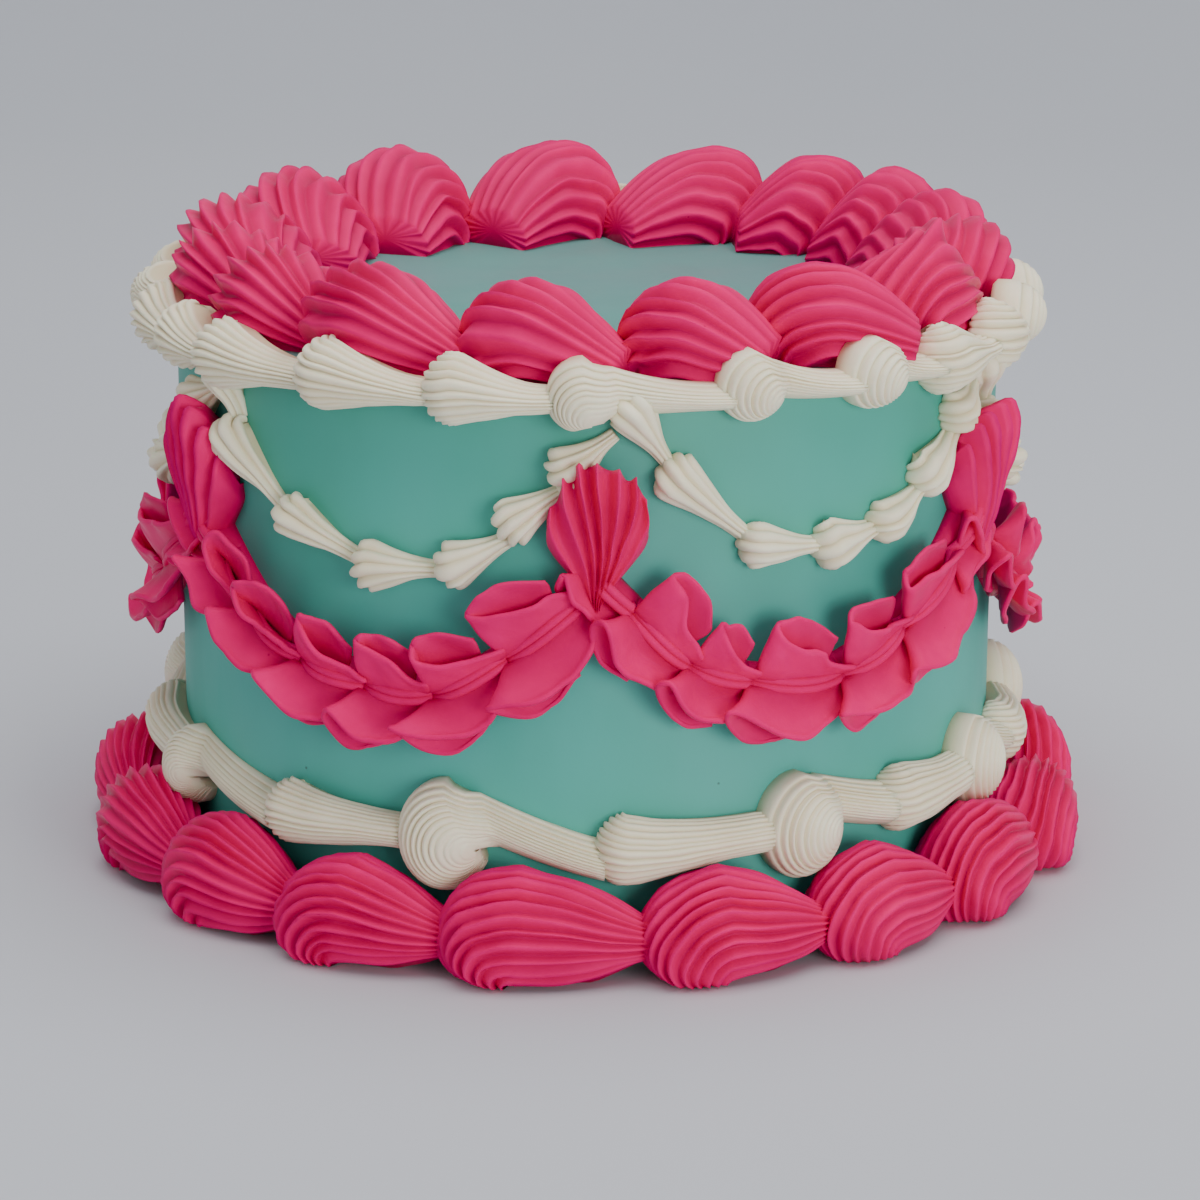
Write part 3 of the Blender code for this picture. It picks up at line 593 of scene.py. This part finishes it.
def fine_grid(control, rows, cols):
    """A smooth sheet through a coarse grid of points."""
    control = np.array(control, float)
    high, wide = control.shape[:2]
    u, v = np.linspace(0, high - 1, rows), np.linspace(0, wide - 1, cols)
    first = np.empty((high, cols, 3))
    for i in range(high):
        for k in range(3):
            first[i, :, k] = smooth(v, np.arange(wide), control[i, :, k])
    grid = np.empty((rows, cols, 3))
    for j in range(cols):
        for k in range(3):
            grid[:, j, k] = smooth(u, np.arange(high), first[:, j, k])
    return grid


# A petal is a ribbon: its front from the right root leftward, a loop, then its back going right.
# Each row is (along, up, out) from the root, at the rib, half way and on the rim
SAIL = (
    ((0.0, 0.3, 4.2), (-3.2, 0.4, 4.7), (-6.2, 0.4, 4.9), (-9.2, 0.4, 4.9), (-11.4, 0.4, 4.6),
     (-11.8, 0.5, 4.3), (-10.4, 0.8, 4.0), (-7.2, 0.8, 3.8), (-3.6, 0.6, 3.6)),
    ((0.3, 1.1, 5.0), (-3.0, 2.1, 5.6), (-5.8, 3.0, 6.3), (-8.8, 3.9, 6.9), (-11.4, 4.6, 7.2),
     (-12.0, 5.6, 6.6), (-10.2, 6.4, 6.0), (-6.4, 6.2, 5.4), (-2.4, 4.0, 4.8)),
    ((0.6, 1.9, 6.2), (-2.6, 3.7, 7.2), (-5.2, 5.3, 8.2), (-8.2, 7.1, 9.0), (-10.9, 8.8, 9.3),
     (-11.6, 10.2, 8.6), (-9.6, 11.2, 8.0), (-5.6, 10.4, 7.3), (-1.6, 7.0, 6.2)),
)
SPOON = (
    ((0.0, 0.3, 4.2), (-3.2, 0.4, 4.7), (-6.2, 0.4, 4.9), (-9.0, 0.4, 4.9), (-11.2, 0.4, 4.6),
     (-11.8, 0.6, 4.2), (-9.8, 0.8, 3.8), (-6.2, 0.8, 3.6), (-2.8, 0.6, 3.6)),
    ((0.3, 0.6, 4.8), (-3.2, 1.0, 5.8), (-6.6, 1.2, 6.8), (-9.8, 1.8, 7.6), (-12.0, 3.0, 8.0),
     (-12.2, 4.6, 7.0), (-9.6, 5.4, 5.6), (-5.8, 5.0, 4.8), (-2.2, 2.9, 4.2)),
    ((0.6, 0.9, 5.4), (-3.2, 1.3, 6.9), (-6.8, 1.8, 8.3), (-10.4, 2.9, 9.3), (-12.9, 5.6, 9.6),
     (-12.5, 9.0, 9.0), (-9.4, 10.8, 7.8), (-5.0, 9.2, 6.4), (-1.6, 5.0, 4.8)),
)
FLAP = (
    ((0.0, -0.4, 3.6), (-3.2, -0.5, 4.3), (-6.4, -0.5, 4.7), (-9.6, -0.5, 4.8),
     (-12.0, -0.4, 4.6), (-12.4, -0.4, 4.0), (-11.2, -0.4, 3.4), (-9.0, -0.4, 3.0),
     (-6.8, -0.4, 2.8)),
    ((0.3, -2.4, 3.3), (-3.2, -3.6, 4.0), (-6.6, -4.2, 4.8), (-10.0, -3.9, 6.0),
     (-12.8, -2.8, 7.2), (-13.6, -2.9, 6.7), (-12.0, -4.2, 5.0), (-9.4, -4.6, 4.0),
     (-6.6, -4.0, 3.5)),
    ((0.5, -3.9, 4.0), (-3.2, -6.0, 6.0), (-6.8, -7.0, 7.6), (-10.6, -6.3, 9.0),
     (-14.2, -4.0, 9.9), (-15.0, -5.0, 8.5), (-12.8, -8.2, 6.2), (-9.6, -9.5, 4.9),
     (-6.0, -8.0, 4.0)),
    ((0.5, -4.6, 5.0), (-3.2, -6.8, 7.5), (-6.9, -7.7, 9.2), (-10.9, -6.7, 10.3),
     (-14.8, -4.4, 10.6), (-15.6, -5.6, 9.0), (-13.2, -9.2, 6.8), (-9.8, -10.4, 5.4),
     (-5.8, -8.8, 4.4)),
)


def ruffles(material):
    """The hanging pink ruffles: a petal above and a flap below the rib at each length."""
    for number in range(REPEATS):
        joint = JOINT_ANGLE + STEP * number
        roots = RUFFLE_ROOTS[number % 2]
        points = np.array([(math.radians(joint + a) * RUFFLE_RING, z) for a, z in roots])
        knots = np.append(0.0, np.cumsum(np.linalg.norm(np.diff(points, axis=0), axis=1)))
        rng = np.random.default_rng(RUFFLE_SEED + number)
        form = Form()
        for step in range(1, len(points)):
            length = knots[step] - knots[step - 1]
            steep = (points[step] - points[step - 1])[1] / length
            spoon = number % 2 == 1 and steep < -0.2
            upper = np.array(SPOON if spoon else SAIL)
            tucked = step == 1 or (step == len(points) - 1 and number % 2 == 0)
            for control, side in ((upper, 1), (np.array(FLAP), -1)):
                if tucked and side == 1:
                    continue
                loose = np.linspace(0.0, 1.0, len(control))[:, None, None]
                control = control + loose * rng.normal(0.0, 0.4, control.shape[1:])
                share = length / PETAL_LENGTH
                control = control * np.array((share, share**0.35, 1.0))
                reach = 1.0 + rng.uniform(-0.08, 0.1)
                control[..., 1] *= reach * (0.92 if side < 0 else 0.84 if spoon else 0.94)
                control[0, :, 1] += 0.6 * side
                if tucked:
                    control[..., 1] *= 0.8
                    control[..., 2] *= 0.72
                place_ribbon(form, control, points, knots[step], rng)
            rib(form, points, knots[step - 1] - 0.5, knots[step] + 0.3)
        form.make(f"piped_ruffle_{number + 1}", material, "pink_icing", f"ruffle_{number + 1}")


def place_ribbon(form, control, points, root, rng):
    """One petal laid along the curve through points, from a root at that distance."""
    grid = fine_grid(control, PETAL_ROWS, PETAL_COLS)
    rows = np.linspace(0.0, 1.0, PETAL_ROWS)[:, None]
    cols = np.linspace(0.0, 1.0, PETAL_COLS)[None]
    for axis, size in ((1, 0.3), (2, 0.35)):
        grid[..., axis] += uneven(
            grid[..., 0] * 1.2 + grid[..., 1], rng.integers(1000), size, 0.45
        ) * rows
    centre, way = line_at(points, root + grid[..., 0])
    side = np.stack((-way[..., 1], way[..., 0]), axis=-1)
    flat = centre + side * grid[..., 1][..., None]
    laid = np.stack((flat[..., 0], grid[..., 2], flat[..., 1]), axis=-1)
    # Painted shade near the rib, toward the far end, and where the root tucks under the last
    # petal.
    groove = np.clip(0.75 - 1.4 * rows, 0.0, 1.0) + np.clip(cols - 0.62, 0.0, 0.4) * 1.6
    groove = groove + np.clip(0.6 - 5.0 * cols, 0.0, 0.6)
    form.leaf(roll(laid, RUFFLE_RING), np.clip(groove, 0.0, 1.0), PETAL_THICKNESS * MM)


def rib(form, points, start, stop):
    """The double line that the nozzle leaves between the petals, on a low ridge."""
    distance = np.linspace(start, stop, RIB_ROWS)
    centre, way = line_at(points, distance)
    side = np.stack((-way[:, 1], way[:, 0]), axis=-1)
    rise = np.sin(np.linspace(0.25, math.pi * 0.85, RIB_ROWS)) ** 0.6
    turns = np.linspace(0.0, 2 * math.pi, 10, endpoint=False)
    for shift in (-0.75, 0.75):
        grid = np.empty((RIB_ROWS, len(turns), 3))
        middle = centre + side * shift
        flat = middle[:, None] + side[:, None] * (0.85 * np.cos(turns))[None, :, None]
        grid[..., 0] = flat[..., 0]
        grid[..., 2] = flat[..., 1]
        grid[..., 1] = 5.4 * rise[:, None] + np.sin(turns)[None]
        # Light painted shade on the rib lines.
        form.tube(roll(grid, RUFFLE_RING), np.full(grid.shape[:2], 0.35))
    turns = np.linspace(0.0, math.pi, 8)
    grid = np.empty((RIB_ROWS, len(turns), 3))
    flat = centre[:, None] + side[:, None] * (3.0 * np.cos(turns))[None, :, None]
    grid[..., 0] = flat[..., 0]
    grid[..., 2] = flat[..., 1]
    grid[..., 1] = 4.2 * np.sin(turns)[None] * rise[:, None] - 0.3
    # Heavy painted shade on the low ridge under the petals.
    form.tube(roll(grid, RUFFLE_RING), np.full(grid.shape[:2], 0.9))


def drops(material):
    """Scalloped fans of thin ridges that meet in a tip below."""
    for number in range(REPEATS):
        seed = DROP_SEED + number
        place, shape, weight = ridge_line(DROP_RIDGES, 12, 1.9, seed, spread=0.2)
        u = 2.0 * place - 1.0
        rng = np.random.default_rng(seed + 20)
        along = np.linspace(0.0, 1.0, DROP_ROWS)
        wide = smooth(
            along, (0, 0.15, 0.3, 0.5, 0.7, 0.85, 1), (0.7, 1.8, 3.4, 5.9, 8.4, 9.6, 9.4)
        )
        tall = smooth(along, (0, 0.15, 0.4, 0.7, 0.9, 1), (5.0, 6.6, 8.6, 10.4, 10.2, 8.8))
        depth = smooth(along, (0, 0.3, 0.7, 1), (0.16, 0.26, 0.34, 0.42))
        steps = rng.normal(0.0, 1.0, DROP_RIDGES + 1)
        steps = np.interp(place * DROP_RIDGES, np.arange(DROP_RIDGES + 1), steps)
        reach_up = (DROP_TOP - DROP_END) * (1.0 - 0.42 * np.abs(u) ** 2.2)
        reach_up = reach_up + steps + 1.8 * (shape - 0.6)
        skew = rng.uniform(-1.6, 0.6)
        bend = rng.uniform(-0.8, 0.8)
        rows = []
        for d, w, h, k in zip(along, wide, tall, depth):
            reach = 1.0 - k * (1.0 - shape) * weight
            curled = 0.06 * max(0.0, (d - 0.7) / 0.3) ** 1.5
            side = u + 0.1 * np.sin(math.pi * u) * d
            side = side + 0.07 * np.sin(5.0 * d + 4.0 * u + number) * d * (1.0 - np.abs(u))
            across = w * side * (0.93 + 0.07 * reach) + skew * d + bend * math.sin(math.pi * d)
            dome = 0.3 + 0.7 * np.sqrt(np.clip(1.0 - u**2, 0.0, 1.0))
            out = h * dome * (reach + curled * shape)
            rows.append(np.stack((across, out, reach_up * d), axis=-1))
        last = rows[-1]
        for share, sink in ((0.1, -0.5), (0.24, -0.3), (0.45, 0.6), (0.72, 2.4), (0.99, 5.0)):
            row = last.copy()
            row[:, 1] = last[:, 1] * (1.0 - share)
            row[:, 0] = (last[:, 0] - skew) * (1.0 - 0.028 * sink) + skew
            row[:, 2] = last[:, 2] - sink
            rows.append(row)
        grid = np.array(rows)
        under = np.stack((grid[:, -1] * (0.9, 0, 1), grid[:, 0] * (0.9, 0, 1)), axis=1)
        under[..., 1] = -0.6
        grid = np.concatenate((grid, under), axis=1)
        joint = math.radians(JOINT_ANGLE + STEP * number - 0.8) * SWAG_RING
        grid = soften(grid, 80 + number, 0.25)
        grid = np.stack(
            (joint + grid[..., 0], grid[..., 1], DROP_END + grid[..., 2]), axis=-1
        )
        # Painted shade in the valleys between ridges and over the underside.
        groove = np.append(0.55 * (1.0 - shape), (1.0, 1.0))
        groove = np.broadcast_to(groove, grid.shape[:2]).copy()
        groove[DROP_ROWS + 1:] = 1.0
        form = Form()
        form.tube(roll(grid, SWAG_RING), groove)
        form.make(
            f"piped_drop_shell_{number + 1}", material, "pink_icing", f"drop_shell_{number + 1}"
        )


def cake_body(material):
    """The smooth iced wall and top, with a soft edge and slight unevenness."""
    profile = []
    for z in np.linspace(0.0, HEIGHT - EDGE, 44):
        profile.append((RADIUS, z))
    for turn in np.linspace(0.0, 90.0, 8)[1:]:
        t = math.radians(turn)
        profile.append((RADIUS - EDGE * (1 - math.cos(t)), HEIGHT - EDGE * (1 - math.sin(t))))
    for radius in np.linspace(RADIUS - EDGE, 2.0, 36)[1:]:
        profile.append((radius, HEIGHT))
    turns = np.linspace(0.0, 2 * math.pi, 200, endpoint=False)
    rows = []
    for radius, z in profile:
        wave = uneven(3 * turns, 3, 0.12, 1.0) + uneven(2 * turns + 0.05 * z, 4, 0.1, 1.0)
        r = radius + wave * min(1.0, radius / 60.0)
        lift = np.zeros_like(turns)
        if z > HEIGHT - 0.01:
            lift = uneven(radius * np.cos(turns) / 9 + 2, 8, 0.12, 0.6)
            lift = lift + uneven(radius * np.sin(turns) / 9, 9, 0.12, 0.6)
        rows.append(np.stack((r * np.sin(turns), -r * np.cos(turns), z + lift), axis=-1))
    form = Form()
    grid = np.array(rows) * MM
    form.tube(grid, np.zeros(grid.shape[:2]))
    form.make("iced_cake", material, "teal_icing", "cake")


class Nodes:
    """Short calls for building a material."""

    def __init__(self, name):
        self.material = bpy.data.materials.new(name)
        self.material.use_nodes = True
        self.tree = self.material.node_tree
        self.shader = self.tree.nodes["Principled BSDF"]
        self.coordinates = self.tree.nodes.new("ShaderNodeTexCoord").outputs["Object"]

    def add(self, kind, **settings):
        node = self.tree.nodes.new("ShaderNode" + kind)
        for key, value in settings.items():
            setattr(node, key, value)
        return node

    def put(self, socket, value):
        if isinstance(value, bpy.types.NodeSocket):
            self.tree.links.new(value, socket)
        else:
            socket.default_value = value

    def noise(self, scale, detail=3.0, stretch=None):
        vector = self.coordinates
        if stretch:
            mapping = self.add("Mapping")
            self.put(mapping.inputs["Vector"], vector)
            mapping.inputs["Scale"].default_value = stretch
            vector = mapping.outputs["Vector"]
        node = self.add("TexNoise")
        self.put(node.inputs["Vector"], vector)
        node.inputs["Scale"].default_value = scale
        node.inputs["Detail"].default_value = detail
        return node.outputs["Fac"]

    def ramp(self, value, low, high, out_low=0.0, out_high=1.0):
        node = self.add("MapRange", clamp=True)
        self.put(node.inputs["Value"], value)
        for key, number in (("From Min", low), ("From Max", high), ("To Min", out_low),
                            ("To Max", out_high)):
            node.inputs[key].default_value = number
        return node.outputs["Result"]

    def mix(self, factor, first, second):
        node = self.add("Mix", data_type="RGBA")
        self.put(node.inputs[0], factor)
        self.put(node.inputs[6], first)
        self.put(node.inputs[7], second)
        return node.outputs[2]

    def math(self, operation, first, second):
        node = self.add("Math", operation=operation)
        self.put(node.inputs[0], first)
        self.put(node.inputs[1], second)
        return node.outputs[0]

    def pits(self, scale, size, share):
        """Small round holes: 1 inside one, 0 outside."""
        node = self.add("TexVoronoi")
        self.put(node.inputs["Vector"], self.coordinates)
        node.inputs["Scale"].default_value = scale
        near = self.ramp(node.outputs["Distance"], size, size * 0.55)
        split = self.add("SeparateColor")
        self.put(split.inputs[0], node.outputs["Color"])
        chosen = self.math("LESS_THAN", split.outputs[0], share)
        return self.math("MULTIPLY", near, chosen)


def rgb(red, green, blue):
    """A linear colour from display values of 0 to 255."""
    values = []
    for part in (red, green, blue):
        c = part / 255.0
        values.append(c / 12.92 if c <= 0.04045 else ((c + 0.055) / 1.055) ** 2.4)
    return (*values, 1.0)


TEAL = rgb(80, 186, 172)
TEAL_DEEP = rgb(60, 170, 150)
TEAL_GREY = rgb(90, 175, 166)
# Painted shade high on the wall, under the overhang of the top border.
TEAL_OVERHANG_SHADE = rgb(62, 150, 132)
# Painted reflection of the sky on the flat top.
TEAL_SKY_REFLECTION = rgb(108, 140, 144)
# Painted shade inside the pinholes of the wall.
TEAL_PIT_SHADE = rgb(70, 116, 108)
PINK = (0.9, 0.0004, 0.175, 1.0)
PINK_DARK = (0.76, 0.0003, 0.14, 1.0)
# Painted shade colour for the grooves and pits of the pink icing.
PINK_SHADE = (0.42, 0.0001, 0.055, 1.0)
WHITE = (0.96, 0.9, 0.71, 1.0)
WHITE_DARK = (0.88, 0.8, 0.6, 1.0)
# Painted shade colour for the grooves and pits of the white icing.
WHITE_SHADE = (0.72, 0.60, 0.34, 1.0)


def icing(name, light, dark, shade_colour, groove_share, roughness, subsurface, grain, sheen):
    """Buttercream: soft patches of tone, deeper colour in the grooves as painted shade, fine grain
    and pits with painted shade inside.
    """
    n = Nodes(name)
    slow = n.ramp(n.noise(70.0, 3.0), 0.35, 0.68)
    colour = n.mix(slow, light, dark)
    mottle = n.ramp(n.noise(420.0, 2.0), 0.35, 0.7, 0.0, 0.3)
    colour = n.mix(mottle, colour, dark)
    # Painted shade: the groove value pulls the colour toward the shade colour.
    attribute = n.add("Attribute", attribute_name="groove", attribute_type="GEOMETRY")
    groove = n.ramp(attribute.outputs["Fac"], 0.25, 1.0, 0.0, groove_share)
    colour = n.mix(groove, colour, shade_colour)
    holes = n.pits(150.0, 0.05, 0.14)
    # Pits darkened with the shade colour, as painted shade inside them.
    colour = n.mix(n.math("MULTIPLY", holes, 0.7), colour, shade_colour)
    n.put(n.shader.inputs["Base Color"], colour)
    rough = n.ramp(n.noise(260.0, 3.0), 0.3, 0.7, roughness - 0.06, roughness + 0.07)
    n.put(n.shader.inputs["Roughness"], rough)
    n.put(n.shader.inputs["Subsurface Weight"], subsurface)
    n.put(n.shader.inputs["Subsurface Scale"], 0.0016)
    n.put(n.shader.inputs["Subsurface Radius"], (1.0, 0.5, 0.6))
    n.put(n.shader.inputs["IOR"], 1.38)
    n.put(n.shader.inputs["Specular IOR Level"], 0.36)
    n.put(n.shader.inputs["Specular Tint"], sheen)
    fine = n.noise(1500.0, 4.0)
    wave = n.noise(330.0, 2.0)
    height = n.math("ADD", n.math("MULTIPLY", fine, grain), n.math("MULTIPLY", wave, 0.6))
    height = n.math("SUBTRACT", height, n.math("MULTIPLY", holes, 1.4))
    bump = n.add("Bump")
    n.put(bump.inputs["Height"], height)
    bump.inputs["Strength"].default_value = 0.35
    bump.inputs["Distance"].default_value = 0.0003
    n.put(n.shader.inputs["Normal"], bump.outputs["Normal"])
    return n.material


def wall_icing(name):
    """Smoothed icing: palette knife smears, pinholes darkened as painted shade, painted shade up
    the wall under the top border, and a greyer top as a painted reflection of the sky.
    """
    n = Nodes(name)
    smear = n.ramp(n.noise(26.0, 4.0, (1.0, 1.0, 0.35)), 0.32, 0.7)
    colour = n.mix(smear, TEAL, TEAL_DEEP)
    cloud = n.ramp(n.noise(14.0, 3.0), 0.36, 0.66, 0.0, 0.5)
    colour = n.mix(cloud, colour, TEAL_GREY)
    # Darker up the wall toward the top border: painted shade from the border's overhang.
    split = n.add("SeparateXYZ")
    n.put(split.inputs[0], n.coordinates)
    high = n.ramp(split.outputs["Z"], 0.055, 0.1, 0.0, 0.5)
    colour = n.mix(high, colour, TEAL_OVERHANG_SHADE)
    # A greyer top: painted reflection of the sky.
    top = n.ramp(split.outputs["Z"], 0.1078, 0.1086)
    colour = n.mix(n.math("MULTIPLY", top, 0.8), colour, TEAL_SKY_REFLECTION)
    holes = n.pits(170.0, 0.06, 0.16)
    small = n.pits(320.0, 0.06, 0.2)
    marks = n.math("MAXIMUM", holes, n.math("MULTIPLY", small, 0.6))
    # Pinholes darkened, as painted shade inside them.
    colour = n.mix(n.math("MULTIPLY", marks, 0.8), colour, TEAL_PIT_SHADE)
    n.put(n.shader.inputs["Base Color"], colour)
    rough = n.ramp(n.noise(60.0, 4.0, (1.0, 1.0, 0.4)), 0.3, 0.7, 0.46, 0.6)
    n.put(n.shader.inputs["Roughness"], rough)
    n.put(n.shader.inputs["Subsurface Weight"], 0.12)
    n.put(n.shader.inputs["Subsurface Scale"], 0.002)
    n.put(n.shader.inputs["Subsurface Radius"], (0.6, 1.0, 0.9))
    streak = n.noise(90.0, 4.0, (1.0, 1.0, 0.2))
    level = n.noise(30.0, 2.0, (1.0, 1.0, 0.6))
    height = n.math("ADD", n.math("MULTIPLY", streak, 0.5), n.math("MULTIPLY", level, 1.2))
    height = n.math("ADD", height, n.math("MULTIPLY", n.noise(1400.0, 3.0), 0.12))
    height = n.math("SUBTRACT", height, n.math("MULTIPLY", marks, 0.9))
    bump = n.add("Bump")
    n.put(bump.inputs["Height"], height)
    bump.inputs["Strength"].default_value = 0.3
    bump.inputs["Distance"].default_value = 0.0004
    n.put(n.shader.inputs["Normal"], bump.outputs["Normal"])
    return n.material


# In metres: the backdrop's profile as (y, z), its columns, and the gap below the cake
BACKDROP = (
    (-1.6, 0.0), (-0.4, 0.0), (0.8, 0.0), (1.1, 0.02), (1.3, 0.1), (1.42, 0.25),
    (1.48, 0.5), (1.5, 1.0), (1.5, 2.2),
)
BACKDROP_COLUMNS = (-2.2, -1.0, 0.0, 1.0, 2.2)
BACKDROP_GAP = 0.0003
# Name, place, target, size, power and colour of each lamp
LAMPS = (
    ("overhead", (0.15, -0.1, 1.3), (0, 0, 0.03), 1.6, 16.5, (1.0, 0.98, 0.96)),
    ("right", (0.8, -1.4, 0.28), (0, 0, 0.04), 0.8, 14.0, (1.0, 0.98, 0.95)),
    ("left", (-1.3, -0.7, 0.6), (0, 0, 0.05), 1.0, 0.5, (0.93, 0.96, 1.0)),
)


def set_stage():
    """A plain pale floor and backdrop, lit by large soft lamps."""
    points = [(x, y, z - BACKDROP_GAP) for y, z in BACKDROP for x in BACKDROP_COLUMNS]
    across = len(BACKDROP_COLUMNS)
    faces = []
    for row in range(len(BACKDROP) - 1):
        for a in range(row * across, row * across + across - 1):
            faces.append((a, a + 1, a + across + 1, a + across))
    mesh = bpy.data.meshes.new("backdrop")
    mesh.from_pydata(points, [], faces)
    mesh.shade_smooth()
    n = Nodes("backdrop")
    tone = n.ramp(n.noise(1.5, 2.0), 0.3, 0.7)
    n.put(n.shader.inputs["Base Color"], n.mix(tone, rgb(204, 207, 214), rgb(198, 202, 211)))
    n.put(n.shader.inputs["Roughness"], 0.75)
    mesh.materials.append(n.material)
    floor = bpy.data.objects.new("backdrop", mesh)
    bpy.context.scene.collection.objects.link(floor)
    for settings in LAMPS:
        lamp(*settings)
    world = bpy.data.worlds.new("room")
    world.use_nodes = True
    background = world.node_tree.nodes["Background"]
    background.inputs["Color"].default_value = (0.93, 0.96, 1.0, 1.0)
    background.inputs["Strength"].default_value = 0.45
    bpy.context.scene.world = world


def lamp(name, place, target, size, power, colour):
    """A round soft lamp that points at its target."""
    light = bpy.data.lights.new(name, "AREA")
    light.shape = "DISK"
    light.size = size
    light.energy = power
    light.color = colour
    thing = bpy.data.objects.new(name, light)
    way = np.array(target) - np.array(place)
    thing.location = place
    thing.rotation_mode = "QUATERNION"
    thing.rotation_quaternion = Vector(way).to_track_quat("-Z", "Y")
    bpy.context.scene.collection.objects.link(thing)


def set_camera():
    """The camera of the photograph, above the cake and looking a little down."""
    distance, height = 0.820, 0.28228
    pitch, yaw, tilt = 0.28035, 0.00321, 0.00487
    ahead = np.array((
        math.sin(yaw) * math.cos(pitch), math.cos(yaw) * math.cos(pitch), -math.sin(pitch)
    ))
    right = np.array((math.cos(yaw), -math.sin(yaw), 0.0))
    up = np.cross(right, ahead)
    right, up = (
        right * math.cos(tilt) + up * math.sin(tilt),
        up * math.cos(tilt) - right * math.sin(tilt),
    )
    data = bpy.data.cameras.new("camera")
    data.lens = 127.8
    data.sensor_width = 36.0
    data.clip_start = 0.01
    data.clip_end = 20.0
    camera = bpy.data.objects.new("camera", data)
    camera.matrix_world = Matrix((
        (right[0], up[0], -ahead[0], 0.0),
        (right[1], up[1], -ahead[1], -distance),
        (right[2], up[2], -ahead[2], height),
        (0.0, 0.0, 0.0, 1.0),
    ))
    bpy.context.scene.collection.objects.link(camera)
    bpy.context.scene.camera = camera


def main():
    teal = wall_icing("smooth_teal_icing")
    pink = icing("piped_pink_icing", PINK, PINK_DARK, PINK_SHADE, 0.6, 0.44, 0.12, 0.3,
                 (1.0, 0.12, 0.4, 1.0))
    white = icing("piped_white_icing", WHITE, WHITE_DARK, WHITE_SHADE, 0.55, 0.5, 0.3, 0.3,
                  (1.0, 0.98, 0.92, 1.0))
    cake_body(teal)
    top_shells(pink)
    base_shells(pink)
    rim_border(white)
    scroll_border(white)
    swags(white)
    ruffles(pink)
    drops(pink)
    set_stage()
    set_camera()


main()
